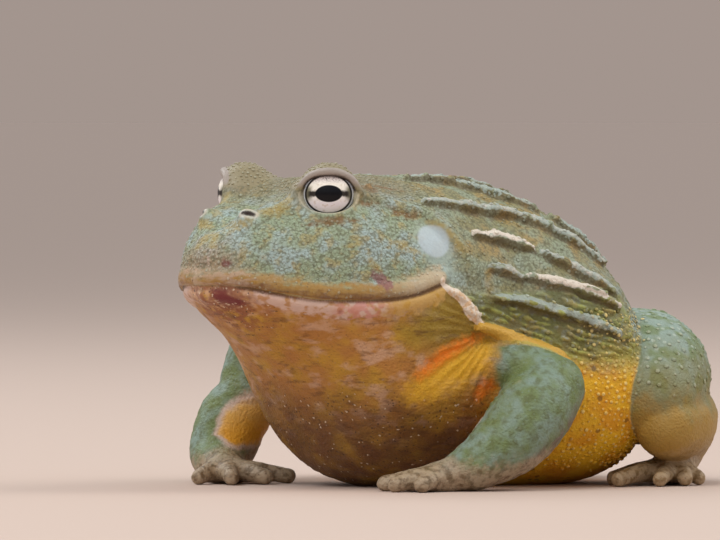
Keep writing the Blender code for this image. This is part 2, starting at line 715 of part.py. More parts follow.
def middle_of(mesh):
    return sum((vertex.co for vertex in mesh.vertices), Vector()) / len(mesh.vertices)


def part_with(obj, divider, place, normal, before, after):
    """Cuts an object in two with a thin plate and names the pieces by their side of it."""
    boolean = obj.modifiers.new("cut", "BOOLEAN")
    boolean.operation = "DIFFERENCE"
    boolean.solver = "EXACT"
    boolean.object = divider
    apply_modifiers(obj)
    bpy.data.objects.remove(divider)
    pieces = [keep_faces(obj.data, group) for _, group in shells(obj.data)[:2]]
    pieces.sort(key=lambda mesh: (middle_of(mesh) - Vector(place) * MM).dot(Vector(normal)))
    bpy.data.objects.remove(obj)
    return add_object(before, pieces[0]), add_object(after, pieces[1])


def make_arm(word, upper, fore, hand):
    arm = mesh_object("arm", arm_field(upper, fore, hand), ARM_TRIANGLES)
    place, normal = ELBOWS[word]
    upper_arm, rest = part_with(arm, plate(place, normal), place, normal, "upper_arm_" + word, "rest")
    place, normal = WRISTS[word]
    forearm, palm = part_with(rest, plate(place, normal), place, normal, "forearm_" + word, "hand_" + word)
    return [upper_arm, forearm, palm]


def make_leg(word, side):
    thigh = mesh_object("thigh_" + word, limb_field(on_side(side, THIGH)), THIGH_TRIANGLES)
    shank = mesh_object("shank_" + word, limb_field(on_side(side, SHANK)), SHANK_TRIANGLES)
    foot = mesh_object("foot_" + word, foot_field(side), FOOT_TRIANGLES)
    cut_clear(shank, [thigh])
    cut_clear(foot, [thigh, shank])
    return [thigh, shank, foot]


def cut_clear(obj, neighbours):
    cutters = [swollen(neighbour) for neighbour in neighbours]
    cut(obj, cutters)
    for cutter in cutters:
        bpy.data.objects.remove(cutter)


def make_eye(word, side):
    centre, _, _, out = eye_frame(side)
    turn = Vector(out).to_track_quat("Z", "Y")
    return sphere_object("eye_" + word, centre, (EYE_RADIUS,) * 3, turn, 16, 10)


def make_ear_disc(word, side, field):
    spot = settle(field, on_side(side, [EAR_AT]), EAR_LEVEL)
    turn = Vector(slope(field, spot)[0]).to_track_quat("Z", "Y")
    return sphere_object("ear_disc_" + word, spot[0], EAR_SIZE, turn, 14, 6)


def paint(obj):
    kind = obj.name.replace("_left", "").replace("_right", "")
    material = bpy.data.materials.new(obj.name)
    material.use_nodes = True
    shader = material.node_tree.nodes["Principled BSDF"]
    shader.inputs["Base Color"].default_value = (*SKIN_COLOURS[kind], 1)
    shader.inputs["Roughness"].default_value = 0.2 if kind == "eye" else 0.5
    obj.data.materials.clear()
    obj.data.materials.append(material)
    obj.data.shade_smooth()


def main():
    for obj in list(bpy.data.objects):
        bpy.data.objects.remove(obj)
    field = body_field()
    body = mesh_object("body", field, BODY_TRIANGLES, fine_spots())
    front, torso = part_with(body, plate(*NECK_PLANE, NECK_PLATE), *NECK_PLANE, "front", "torso")
    jaw, head = part_with(front, jaw_plate(), JAW_MIDDLE, (0, 0, 1), "lower_jaw", "head")
    limbs = make_arm("left", UPPER_ARM_LEFT, FOREARM_LEFT, HAND_LEFT)
    limbs += make_arm("right", UPPER_ARM_RIGHT, FOREARM_RIGHT, HAND_RIGHT)
    set_in = []
    for word, side in (("left", 1), ("right", -1)):
        limbs += make_leg(word, side)
        set_in += [make_eye(word, side), make_ear_disc(word, side, field)]
    cut_clear(head, set_in + limbs[:6])
    cut_clear(jaw, limbs[:6])
    cut_clear(torso, limbs)
    for obj in bpy.context.scene.objects:
        paint(obj)


main()
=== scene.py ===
"""African bullfrog, an adult male at life size: the looks of a still model with its head held high.

The frog faces -Y, its left side is +X and it rests on the floor Z = 0. Sizes are in millimetres.
One skin stands for all the nodes of flesh. It is made as signed distances on a box of voxels, from the
same stations, chains of balls and lines as the solids, then meshed, wrinkled and thinned. Geometry Nodes
set the granules and warts on it. The skin's markings are masks kept on its points, which one material
turns into colour, gloss and fine relief. The eyes are pieces of their own.
"""

import math

import bpy
import numpy as np
import openvdb
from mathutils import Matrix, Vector


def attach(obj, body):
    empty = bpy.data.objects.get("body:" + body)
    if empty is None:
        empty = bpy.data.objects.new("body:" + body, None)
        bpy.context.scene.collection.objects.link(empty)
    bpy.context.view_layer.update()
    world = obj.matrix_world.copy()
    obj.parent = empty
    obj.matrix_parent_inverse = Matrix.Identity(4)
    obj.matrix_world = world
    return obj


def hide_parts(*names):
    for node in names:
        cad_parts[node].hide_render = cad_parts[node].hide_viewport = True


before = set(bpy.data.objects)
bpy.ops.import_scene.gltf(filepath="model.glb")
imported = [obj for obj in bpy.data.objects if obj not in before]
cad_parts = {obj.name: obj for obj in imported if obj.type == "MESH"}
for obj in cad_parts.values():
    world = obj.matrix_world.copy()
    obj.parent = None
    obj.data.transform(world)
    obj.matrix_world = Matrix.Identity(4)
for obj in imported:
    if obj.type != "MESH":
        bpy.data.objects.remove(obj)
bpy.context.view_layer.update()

MM = 0.001
VOXEL = 0.5
BAND = 12.0
BAND_VOXELS = int(BAND / VOXEL)
FAR = VOXEL * BAND_VOXELS
BOX_LOW = (-84.0, -100.0, -8.0)
BOX_HIGH = (84.0, 96.0, 104.0)
AXIS_HEIGHT = 45.0
PATH_STEP = 2.0
# How far round a chain of balls its distances are worked out: in general, for lines and for small ones.
REACH = 8.0
LINE_REACH = 4.0
FINE_REACH = 3.0
SETTLE_ROUNDS = 6
# How far out from the body's axis the skin is looked for, and in what steps.
RAY = (10, 80, 0.5)
SKIN_TRIANGLES = 196000

# Stations: place on Y, half width, top, height of the widest line, bottom, upper and lower squareness.
TRUNK = (
    (-50, 26, 76, 52, 27, 2.1, 2.0),
    (-44, 35, 84, 50, 11, 2.1, 2.0),
    (-36, 39.5, 87, 48, 4, 2.1, 2.2),
    (-26, 42.5, 89, 46, 0.5, 2.1, 2.3),
    (-15, 45, 90, 43, -1, 2.1, 2.4),
    (0, 49, 90, 40, -1.5, 2.1, 2.3),
    (14, 54, 88.5, 36, -1.5, 2.0, 2.4),
    (27, 57, 84.5, 32, -1.5, 1.85, 2.4),
    (38, 54, 80.5, 31, -1, 1.7, 2.4),
    (47, 46, 73, 31, 1, 1.6, 2.3),
    (55, 37, 62, 31, 5, 1.6, 2.2),
    (62, 28, 52, 31, 9, 1.9, 2.0),
    (69, 20, 45, 30, 13, 2.0, 2.0),
    (76, 12, 37, 27, 17, 2.0, 2.0),
    (80, 5, 31, 25, 20, 2.0, 2.0),
)
HEAD = (
    (-88.5, 2, 69, 67, 65, 2.0, 2.0),
    (-87.5, 7, 71, 66, 60, 2.1, 2.0),
    (-85.5, 12, 73.5, 65, 55.5, 2.2, 2.0),
    (-82.5, 16.5, 77, 64, 53, 2.3, 1.9),
    (-79, 20.5, 80.5, 62, 50.5, 2.4, 1.9),
    (-74, 25, 82.3, 60, 47, 2.4, 1.8),
    (-68, 29, 84.5, 59, 43, 2.4, 1.8),
    (-60, 33.5, 89, 58, 37, 2.4, 1.8),
    (-54, 37, 91, 57.5, 30, 2.4, 1.8),
    (-47, 39, 91.5, 57, 21, 2.4, 1.8),
    (-40, 40.5, 91, 57, 12, 2.4, 1.8),
    (-30, 42, 91, 56, 6, 2.4, 1.8),
    (-20, 43, 90.5, 54, 4, 2.3, 1.9),
    (-10, 41, 89, 52, 8, 2.2, 2.0),
    (0, 34, 82, 52, 22, 2.0, 2.0),
)

# Widths of the fillets where one shape runs into another.
NECK_FILLET = 8.0
EYE_FILLET = 5.0
LID_EDGE_FILLET = 0.8
UPPER_LID_FILLET = 0.5
LIP_FILLET = 2.0
FURROW_FILLET = 0.6
CANTHUS_FILLET = 4.0
NOSTRIL_FILLET = 1.6
SLIT_FILLET = 0.4
FOLD_FILLET = 2.5
JAW_FOLD_FILLET = 1.0
FLANK_FOLD_FILLET = 1.2
RIDGE_FILLET = 1.0
BEAD_FILLET = 0.7
ELBOW_FILLET = 1.2
PALM_FILLET = 4.0
DIGIT_FILLET = 2.0
KNEE_FILLET = 1.0
HIP_FILLET = 2.5
SHOULDER_FILLET = 6.0

# Limbs: rows of x, y, z and radius, from the root out.
UPPER_ARM_LEFT = ((37, -21, 39, 3.5), (43.5, -13, 37.8, 5.4), (49.5, -6, 35, 6.8), (55, -1.5, 29.5, 10.2))
FOREARM_LEFT = ((55, -1.5, 29.5, 10.2), (56.5, -9, 23, 11.5), (55, -17, 14.5, 10.5), (52, -27, 8, 7))
UPPER_ARM_RIGHT = ((-40, -13, 46, 10.5), (-51, -21, 40, 10.5), (-55, -24, 31, 9.5))
FOREARM_RIGHT = ((-53, -27, 25, 9.5), (-57, -30, 18, 10.5), (-57.5, -34, 10, 9.5), (-53, -38.5, 6.5, 7))
PALM_LENGTH = 10
PALM_END_HEIGHT = 4.2
PALM_RADII = (6.5, 5.6)
PALM_FLATNESS = 0.85
HAND_LEFT = {
    "wrist": (52, -27, 7), "heading": 121, "spread": (-52, -20, 10, 42), "lengths": (13, 16, 17, 14),
}
HAND_RIGHT = {
    "wrist": (-53, -38.5, 6.5), "heading": 30, "spread": (-76, -36, 2, 42), "lengths": (19, 17, 17, 14),
}
FINGER_ROOT_BACK = 2.5
FINGER_HEIGHTS = (3.8, 3.6, 3.0, 2.2)
FINGER_RADII = (3.5, 3.1, 2.5, 2.3)
THIGH = ((22, 60, 34, 15), (31, 55.5, 32, 20), (43, 47.5, 31, 18.5), (53, 41, 27, 13.3))
SHANK = (
    (58.5, 41.5, 17.8, 9.5), (54, 48, 18.2, 11), (45.5, 57, 19.5, 12.2), (35, 68, 14.5, 9.5),
    (26, 75.5, 9.5, 7.5),
)
TARSUS = ((29.5, 72.2, 7.2, 6.2), (36, 66, 6.5, 6.2), (47, 54.5, 5.5, 6.2))
TARSUS_FLATNESS = 0.9
FOOT_HEADING = -62
TOE_SPREAD = (58, 32, 10, -14, -38)
TOE_LENGTHS = (12, 17, 23, 29, 21)
TOE_HEIGHTS = (4.5, 4.0, 3.2, 2.2)
TOE_RADII = (3.8, 3.1, 2.4, 2.2)
DIGIT_MARKS = (0.1, 0.5, 0.78, 1.0)

# Eyeball, and the opening of its lids as seen along its axis: across and up from the eye's centre.
EYE_AT = (19.2, -56.2, 86.7)
EYE_RADIUS = 8.1
EYE_AXIS = (0.78, -0.62, 0.06)
LID_RADIUS = 9.2
LID_PROUD = 0.9
LID_STEP = 1.2
LID_OPENING = {"half_width": 8.6, "half_height": 5.8, "up": -0.2, "depth": 1.5}
UPPER_LID = ((-9.3, 0.0, 0.6), (-6.6, 4.1, 1.0), (-0.2, 6.2, 1.25), (6.6, 4.2, 1.2), (9.6, 0.2, 0.7))
LOWER_LID = ((-9.3, -0.6, 0.5), (-6.4, -4.7, 0.6), (0, -6.7, 0.7), (6.4, -4.7, 0.6), (9.4, -0.6, 0.5))

# A nostril is a short slit in a low mound.
NOSTRIL_AT = (8.8, -79, 81)
NOSTRIL_MOUND = 2.4
NOSTRIL_LEVEL = -1.2
NOSTRIL_SLIT = ((0.4, -1.6, 0.5, 0.45), (1.7, -0.1, 0.2, 0.7), (2.6, 1.0, -0.3, 0.45))
EAR_AT = (38.8, -32.5, 73.0)

# Lines on the head's skin, as points near it: x, y and z.
MOUTH = (
    (0, -86, 60), (12.4, -84, 59.7), (20.5, -78, 58), (27.7, -68, 56), (32.2, -61, 55.7),
    (38, -50.7, 55.9), (40.9, -41, 57.3), (42.8, -31, 60.7),
)
UPPER_LIP = {"up": 2.4, "radius": 2.4, "level": -1.2}
LOWER_LIP = {"up": -2.3, "radius": 2.2, "level": -1.4}
LIP_TAPER = (1, 1, 1, 1, 1, 1, 0.95, 0.55)
FURROW_RADIUS = 0.8
FURROW_LEVEL = 0.1
EAR_FOLD = (
    (25, -50, 86, 1.2), (28.9, -41, 83.5, 1.6), (34.9, -30, 79.5, 1.9), (39.4, -24.6, 73, 1.9),
    (42, -21.5, 67, 1.6), (43, -20, 62, 1.0),
)
JAW_FOLD = (
    (43.6, -32.6, 61.6, 0.35), (44.9, -30.6, 58.8, 0.5), (45.6, -27.9, 57.6, 1.1),
    (46.2, -25.1, 55.0, 1.6), (46.7, -22.8, 52.0, 1.9), (47.2, -20.8, 49.4, 1.2),
)
FLANK_FOLD = (
    (45.2, -21, 48, 1.3), (46.5, -14.5, 46.2, 1.7), (48.2, -7.5, 43.9, 1.9), (49.6, -0.5, 41.4, 2.0),
    (50.6, 5.4, 38.4, 2.0), (51.8, 8.8, 35.2, 1.9), (52.6, 11, 31.6, 1.7), (52.6, 12.6, 27.5, 1.0),
)
FLANK_FURROW_DROP = 3.0
FLANK_FURROW = {"radius": 1.3, "level": 0.4, "fillet": 1.5}
CANTHUS = ((10, -79, 80.5, 2.2), (13.5, -70, 83.5, 2.6), (16, -63.5, 87, 2.4))
CANTHUS_LEVEL = -1.2
SNOUT_VALLEY = ((0, -82, 80, 5), (0, -72, 84, 6), (0, -60, 89, 6))
VALLEY_LEVEL = 3.6
VALLEY_FILLET = 3.0
EAR_FOLD_LEVEL = 0.2
JAW_FOLD_LEVEL = 0.4
FLANK_FOLD_LEVEL = 1.3

# Ridges of the back: place on Y and turn up from level about the body's axis, with each one's thickness
# and how pale its crest is.
BACK_RIDGES = (
    (1.5, 0.15, ((-6, 84), (8, 83), (24, 80))),
    (1.7, 0.2, ((-24, 71), (-12, 73), (2, 70), (10, 62), (19, 55))),
    (1.6, 0.15, ((24, 53), (33, 45), (42, 34))),
    (1.9, 0.4, ((-28, 53), (-13, 51), (1, 50), (10, 45), (20, 39), (34, 29))),
    (2.1, 1.0, ((-16, 38), (-6, 37), (4, 32))),
    (1.9, 0.4, ((7, 30), (18, 22), (31, 14))),
    (1.9, 0.5, ((-14, 25), (-8, 24), (-3.5, 21))),
    (2.1, 1.0, ((-0.5, 21), (8, 18), (17, 15), (29, 9))),
    (1.7, 0.25, ((-15, 14), (-5.5, 12.5), (5, 8.5), (13.5, 5.5), (28, -1))),
)
OTHER_SIDE_SHIFT = 3.0
RIDGE_LEVEL = 0.7
RIDGE_SLIMNESS = 0.9
BEAD_STEP = 2.0
BEAD_RADIUS = 0.85
BEAD_SINK = 0.55
RIDGE_STEP = 1.5
RIDGE_END_SHARE = 0.45
JAW_FOLD_STEP = 1.2
JAW_FOLD_BEADS = 0.38
CONE_WART = (20.3, -41.9, 88.4)
CONE_RADIUS = 1.3
CONE_FILLET = 1.2


def whole_voxels(corner):
    return np.round(np.array(corner) / VOXEL).astype(int)


FIRST = whole_voxels(BOX_LOW)
LAST = whole_voxels(BOX_HIGH)
SHAPE = tuple(int(n) for n in LAST - FIRST + 1)
AXES = [np.arange(a, b + 1) * VOXEL for a, b in zip(FIRST, LAST)]


def hermite(table, places, fine):
    """Rows read at the fine places from curves that pass through the table without overshoot."""
    secants = np.diff(table, axis=0) / np.diff(places)[:, None]
    slopes = np.gradient(table, places, axis=0)
    for i in range(len(places)):
        before = secants[max(i - 1, 0)]
        after = secants[min(i, len(secants) - 1)]
        limit = 3 * np.minimum(abs(before), abs(after))
        slopes[i] = np.where(before * after <= 0, 0, np.clip(slopes[i], -limit, limit))
    k = np.clip(np.searchsorted(places, fine, "right") - 1, 0, len(places) - 2)
    span = (places[k + 1] - places[k])[:, None]
    t = (fine[:, None] - places[k][:, None]) / span
    value = (1 + 2 * t) * (1 - t) ** 2 * table[k] + t ** 2 * (3 - 2 * t) * table[k + 1]
    return value + span * (t * (1 - t) ** 2 * slopes[k] - t ** 2 * (1 - t) * slopes[k + 1])


def smooth_path(rows, step):
    """Rows spaced about a step apart along a smooth curve through the given rows."""
    table = np.array(rows, float)
    runs = np.linalg.norm(np.diff(table[:, :3], axis=0), axis=1)
    places = np.concatenate([[0], np.cumsum(runs)])
    count = max(2, int(math.ceil(places[-1] / step)) + 1)
    return hermite(table, places, np.linspace(0, places[-1], count))


def loft(rows, around=96, step=PATH_STEP):
    """Signed distance to the closed shape through rows of stations."""
    table = np.array(rows, float)
    places = table[:, 0]
    count = int((places[-1] - places[0]) / step)
    fine = np.unique(np.concatenate([np.linspace(places[0], places[-1], count), places]))
    turn = np.linspace(0, 2 * math.pi, around, endpoint=False)
    rings = []
    for y, station in zip(fine, hermite(table, places, fine)):
        half, top, wide, bottom, upper, lower = station[1:]
        squareness = np.where(np.sin(turn) > 0, upper, lower)
        reach = np.where(np.sin(turn) > 0, top - wide, wide - bottom)
        across = np.sign(np.cos(turn)) * abs(np.cos(turn)) ** (2 / squareness)
        rise = np.sign(np.sin(turn)) * abs(np.sin(turn)) ** (2 / squareness)
        rings.append(np.stack([half * across, np.full(around, y), wide + reach * rise], 1))
    points = np.concatenate(rings + [rings[0].mean(0)[None], rings[-1].mean(0)[None]])
    this = np.arange(around)
    after = (this + 1) % around
    last = (len(rings) - 1) * around
    side = np.stack([this, after, after + around, this + around], 1)
    sides = [ring * around + side for ring in range(len(rings) - 1)]
    start_cap = np.stack([after, this, np.full(around, len(points) - 2)], 1)
    end_cap = np.stack([last + this, last + after, np.full(around, len(points) - 1)], 1)
    grid = openvdb.FloatGrid.createLevelSetFromPolygons(
        points.astype(np.float32),
        triangles=np.concatenate([start_cap, end_cap]).astype(np.uint32),
        quads=np.concatenate(sides).astype(np.uint32),
        transform=openvdb.createLinearTransform(VOXEL),
        halfWidth=BAND_VOXELS,
    )
    field = np.empty(SHAPE, np.float32)
    grid.copyToArray(field, ijk=tuple(int(n) for n in FIRST))
    return field


def window(low, high):
    """The slices, and the open coordinate arrays, of the voxels between two corners."""
    parts = []
    for axis, a, b in zip(AXES, low, high):
        start, stop = np.searchsorted(axis, (a, b))
        parts.append(slice(max(int(start) - 1, 0), min(int(stop) + 1, len(axis))))
    x, y, z = (axis[part].astype(np.float32) for axis, part in zip(AXES, parts))
    return tuple(parts), (x[:, None, None], y[None, :, None], z[None, None, :])


def chain(rows, step=PATH_STEP, flatten=1.0, reach=REACH):
    """A window, with the distances there to a chain of balls; flatten squashes it upright."""
    path = smooth_path(rows, step)
    spread = path[:, 3:4] + reach
    part, (x, y, z) = window((path[:, :3] - spread).min(0), (path[:, :3] + spread).max(0))
    near = np.full(np.broadcast_shapes(x.shape, y.shape, z.shape), FAR, np.float32)
    for (ax, ay, az, ar), (bx, by, bz, br) in zip(path[:-1], path[1:]):
        dx, dy, dz = bx - ax, by - ay, (bz - az) / flatten
        px, py, pz = x - ax, y - ay, (z - az) / flatten
        along = np.clip((px * dx + py * dy + pz * dz) / (dx * dx + dy * dy + dz * dz + 1e-9), 0, 1)
        gap = np.sqrt((px - along * dx) ** 2 + (py - along * dy) ** 2 + (pz - along * dz) ** 2)
        near = np.minimum(near, (gap - ar - along * (br - ar)).astype(np.float32))
    return part, near


def ball(centre, radius, reach=REACH):
    return chain([(*centre, radius), (centre[0] + 0.01, centre[1], centre[2], radius)], reach=reach)


def blend(a, b, width):
    """Union with a fillet of about the given width."""
    h = np.maximum(width - abs(a - b), 0) / width
    return np.minimum(a, b) - h * h * width / 4


def join(field, shape, width):
    """Adds a shape to a field, with a fillet."""
    part, near = shape
    field[part] = blend(field[part], near, width)


def carve(field, shape, width):
    """Takes a shape out of a field, with a rounded edge."""
    part, near = shape
    field[part] = -blend(-field[part], near, width)


def together(shapes, width):
    """Several shapes as one, on the window that holds them all."""
    low = [min(part[axis].start for part, _ in shapes) for axis in range(3)]
    high = [max(part[axis].stop for part, _ in shapes) for axis in range(3)]
    whole = np.full([b - a for a, b in zip(low, high)], FAR, np.float32)
    for part, near in shapes:
        inner = tuple(slice(cut.start - start, cut.stop - start) for cut, start in zip(part, low))
        whole[inner] = blend(whole[inner], near, width)
    return tuple(slice(a, b) for a, b in zip(low, high)), whole


def read(field, points, first=FIRST):
    """Field values at points, by linear interpolation."""
    place = np.clip((np.asarray(points, float) / VOXEL - first), 0, np.array(field.shape) - 1.001)
    cell = place.astype(int)
    part = (place - cell).T
    flat = field.ravel()
    row, plane = field.shape[2], field.shape[1] * field.shape[2]
    base = cell[:, 0] * plane + cell[:, 1] * row + cell[:, 2]
    value = 0
    for i, j, k in np.ndindex(2, 2, 2):
        weight = np.ones(len(base))
        for side, share in zip((i, j, k), part):
            weight = weight * (share if side else 1 - share)
        value = value + weight * flat[base + i * plane + j * row + k]
    return value


def read_shape(shape, points):
    """A windowed shape's distances at points, far outside its window."""
    part, near = shape
    first = FIRST + [cut.start for cut in part]
    inside = np.all((points / VOXEL > first) & (points / VOXEL < first + near.shape - 1), axis=1)
    return np.where(inside, read(near, points, first), FAR)


def slope(field, points):
    """Unit vectors out of the skin at points."""
    points = np.asarray(points, float)
    parts = [read(field, points + step) - read(field, points - step) for step in np.eye(3) * VOXEL]
    vectors = np.stack(parts, 1)
    return vectors / (np.linalg.norm(vectors, axis=1)[:, None] + 1e-9)


def settle(field, points, level=0.0):
    """Points moved onto the skin, or to a level above it."""
    points = np.array(points, float)
    for _ in range(SETTLE_ROUNDS):
        points = points - slope(field, points) * (read(field, points) - level)[:, None]
    return points


def settled_path(field, rows, step, level):
    """A smooth path through rows of x, y, z and radius, moved to a level above the skin."""
    path = smooth_path(rows, step)
    path[:, :3] = settle(field, path[:, :3], level)
    return path


def raise_line(field, rows, level, width):
    """Adds a rounded ridge along rows of x, y, z and radius, its middle at a level above the skin."""
    path = settled_path(field, rows, PATH_STEP, level)
    join(field, chain(path, reach=LINE_REACH), width)
    return path


def carve_line(field, rows, level, width):
    """Takes a rounded furrow out of the skin along rows of x, y, z and radius."""
    path = settled_path(field, rows, PATH_STEP, level)
    carve(field, chain(path, reach=FINE_REACH), width)


def skin_point(field, side, y, turn):
    """Where a ray from the body's axis, turned up from level by an angle, leaves the skin."""
    way = np.array([side * math.cos(math.radians(turn)), 0, math.sin(math.radians(turn))])
    steps = np.arange(*RAY)
    points = np.array([0, y, AXIS_HEIGHT]) + steps[:, None] * way
    return points[np.argmax(read(field, points) > 0)]


def spot_on(side, spot):
    """A spot of the left side, or its mirror image."""
    return np.array((side * spot[0], *spot[1:]))


def on_side(side, rows):
    """Rows of the left side, or their mirror images."""
    return [(side * row[0], *row[1:]) for row in rows]


def eye_frame(side):
    """An eye's centre, and the unit vectors across it, up it and out along its axis."""
    out = Vector(spot_on(side, EYE_AXIS)).normalized()
    across = Vector((0, 0, 1)).cross(out).normalized()
    return spot_on(side, EYE_AT), np.array(across), np.array(out.cross(across)), np.array(out)


def lid_path(side, rows):
    """Points on the front of the eyeball from rows of across, up and radius."""
    centre, across, up, out = eye_frame(side)
    path = []
    for a, u, radius in rows:
        lift = math.sqrt((EYE_RADIUS + LID_PROUD) ** 2 - min(a * a + u * u, EYE_RADIUS ** 2))
        path.append((*(centre + side * a * across + u * up + lift * out), radius))
    return path


def lid_opening(side):
    """The space in front of the eyeball between its lids."""
    centre, across, up, out = eye_frame(side)
    part, (x, y, z) = window(centre - 2 * LID_RADIUS, centre + 2 * LID_RADIUS)
    x, y, z = x - centre[0], y - centre[1], z - centre[2]
    along = x * across[0] + y * across[1] + z * across[2]
    rise = x * up[0] + y * up[1] + z * up[2] - LID_OPENING["up"]
    ahead = x * out[0] + y * out[1] + z * out[2]
    ellipse = np.sqrt((along / LID_OPENING["half_width"]) ** 2 + (rise / LID_OPENING["half_height"]) ** 2)
    return part, np.maximum((ellipse - 1) * LID_OPENING["half_height"], LID_OPENING["depth"] - ahead)


def eyes_on(field):
    for side in (1, -1):
        join(field, ball(spot_on(side, EYE_AT), LID_RADIUS), EYE_FILLET)
        carve(field, lid_opening(side), LID_EDGE_FILLET)
        join(field, chain(lid_path(side, UPPER_LID), LID_STEP, reach=FINE_REACH), UPPER_LID_FILLET)
        join(field, chain(lid_path(side, LOWER_LID), LID_STEP, reach=FINE_REACH), LID_EDGE_FILLET)


def lips_on(field):
    """Rolled lips above and below the line of the mouth, and the line pressed in between them."""
    for side in (1, -1):
        line = on_side(side, MOUTH)
        for lip in (UPPER_LIP, LOWER_LIP):
            rows = []
            for (x, y, z), share in zip(line, LIP_TAPER):
                rows.append((x, y, z + lip["up"], lip["radius"] * share))
            raise_line(field, rows, lip["level"], LIP_FILLET)
        carve_line(field, [(*point, FURROW_RADIUS) for point in line], FURROW_LEVEL, FURROW_FILLET)


def beaded(path, seed, strength=0.22):
    """A path whose radius swells and shrinks along it like a row of beads."""
    draw = np.random.default_rng(seed)
    place = np.arange(len(path))
    swell = np.interp(place, place[::2], draw.uniform(-1, 1, len(place[::2])))
    path[:, 3] *= 1 + strength * swell
    return path


def nostril(field, side):
    """A nostril's middle, a little under the skin, and the rows of its slit."""
    middle = settle(field, [spot_on(side, NOSTRIL_AT)], NOSTRIL_LEVEL)[0]
    return middle, [(*(middle + (side * x, y, z)), radius) for x, y, z, radius in NOSTRIL_SLIT]


def face_on(field):
    """The features of the face; gives the lines of the folds at the jaw's corners."""
    folds = []
    carve_line(field, SNOUT_VALLEY, VALLEY_LEVEL, VALLEY_FILLET)
    for side in (1, -1):
        raise_line(field, on_side(side, CANTHUS), CANTHUS_LEVEL, CANTHUS_FILLET)
        middle, slit = nostril(field, side)
        join(field, ball(middle, NOSTRIL_MOUND), NOSTRIL_FILLET)
        carve_line(field, slit, FURROW_LEVEL, SLIT_FILLET)
        raise_line(field, on_side(side, EAR_FOLD), EAR_FOLD_LEVEL, FOLD_FILLET)
        join(field, ball(spot_on(side, CONE_WART), CONE_RADIUS, FINE_REACH), CONE_FILLET)
        path = settled_path(field, on_side(side, JAW_FOLD), JAW_FOLD_STEP, JAW_FOLD_LEVEL)
        folds.append(beaded(path, 5, JAW_FOLD_BEADS))
        join(field, chain(path, JAW_FOLD_STEP, reach=LINE_REACH), JAW_FOLD_FILLET)
    return folds


def ridge_paths(field):
    """Each ridge of the back as a settled path with beaded radius, with its side and paleness."""
    paths = []
    for side in (1, -1):
        shift = OTHER_SIDE_SHIFT if side < 0 else 0
        for number, (thickness, pale, points) in enumerate(BACK_RIDGES):
            spots = [skin_point(field, side, y + shift, turn) for y, turn in points]
            rows = np.array([(*spot, RIDGE_SLIMNESS * thickness) for spot in spots])
            rows[[0, -1], 3] *= RIDGE_END_SHARE
            path = settled_path(field, rows, RIDGE_STEP, RIDGE_LEVEL)
            paths.append((side, pale, beaded(path, 10 + number)))
    return paths


def ridges_on(field, paths):
    """Long folds of skin along the back, with small lumps along their crests."""
    for number, (_, _, path) in enumerate(paths):
        join(field, chain(path, RIDGE_STEP, reach=LINE_REACH), RIDGE_FILLET)
        draw = np.random.default_rng(100 + number)
        for row, way in zip(path, slope(field, path[:, :3])):
            if draw.uniform() < RIDGE_STEP / BEAD_STEP:
                lump = BEAD_RADIUS * draw.uniform(0.7, 1.3)
                centre = row[:3] + way * (row[3] - BEAD_SINK * lump) + draw.uniform(-0.5, 0.5, 3)
                join(field, ball(centre, lump, FINE_REACH), BEAD_FILLET)


def digit(start, angle, length, heights, radii, back=0.0):
    """A finger or toe along the ground from start, as a chain from root over knuckles to tip."""
    way = np.array([math.cos(angle), math.sin(angle)])
    marks = [mark * length for mark in DIGIT_MARKS]
    marks[0] -= back
    return chain([(*(start + way * mark), z, r) for mark, z, r in zip(marks, heights, radii)])


def hand_shapes(hand):
    """Palm and four fingers spread from the wrist, low on the ground."""
    wrist = np.array(hand["wrist"], float)
    heading = -math.radians(hand["heading"])
    palm_end = wrist[:2] + PALM_LENGTH * np.array([math.cos(heading), math.sin(heading)])
    palm = [(*wrist, PALM_RADII[0]), (*palm_end, PALM_END_HEIGHT, PALM_RADII[1])]
    shapes = [chain(palm, flatten=PALM_FLATNESS)]
    for turn, length in zip(hand["spread"], hand["lengths"]):
        angle = heading - math.radians(turn)
        shapes.append(digit(palm_end, angle, length, FINGER_HEIGHTS, FINGER_RADII, FINGER_ROOT_BACK))
    return together(shapes, DIGIT_FILLET)


def foot_shapes(side):
    shapes = [chain(on_side(side, TARSUS), flatten=TARSUS_FLATNESS)]
    start = (side * TARSUS[-1][0], TARSUS[-1][1])
    for turn, length in zip(TOE_SPREAD, TOE_LENGTHS):
        angle = math.radians(FOOT_HEADING + turn)
        angle = angle if side > 0 else math.pi - angle
        shapes.append(digit(start, angle, length, TOE_HEIGHTS, TOE_RADII))
    return together(shapes, DIGIT_FILLET)


def limb_shapes():
    """The arms, hands, legs and feet, each as a windowed shape, by name."""
    shapes = {}
    for word, upper, fore, hand in (
        ("left", UPPER_ARM_LEFT, FOREARM_LEFT, HAND_LEFT),
        ("right", UPPER_ARM_RIGHT, FOREARM_RIGHT, HAND_RIGHT),
    ):
        shapes["hand_" + word] = hand_shapes(hand)
        arm = together([chain(upper), chain(fore)], ELBOW_FILLET)
        shapes["arm_" + word] = together([arm, shapes["hand_" + word]], PALM_FILLET)
    for word, side in (("left", 1), ("right", -1)):
        shapes["foot_" + word] = foot_shapes(side)
        leg = [chain(on_side(side, THIGH)), chain(on_side(side, SHANK)), shapes["foot_" + word]]
        shapes["leg_" + word] = together(leg, KNEE_FILLET)
    return shapes


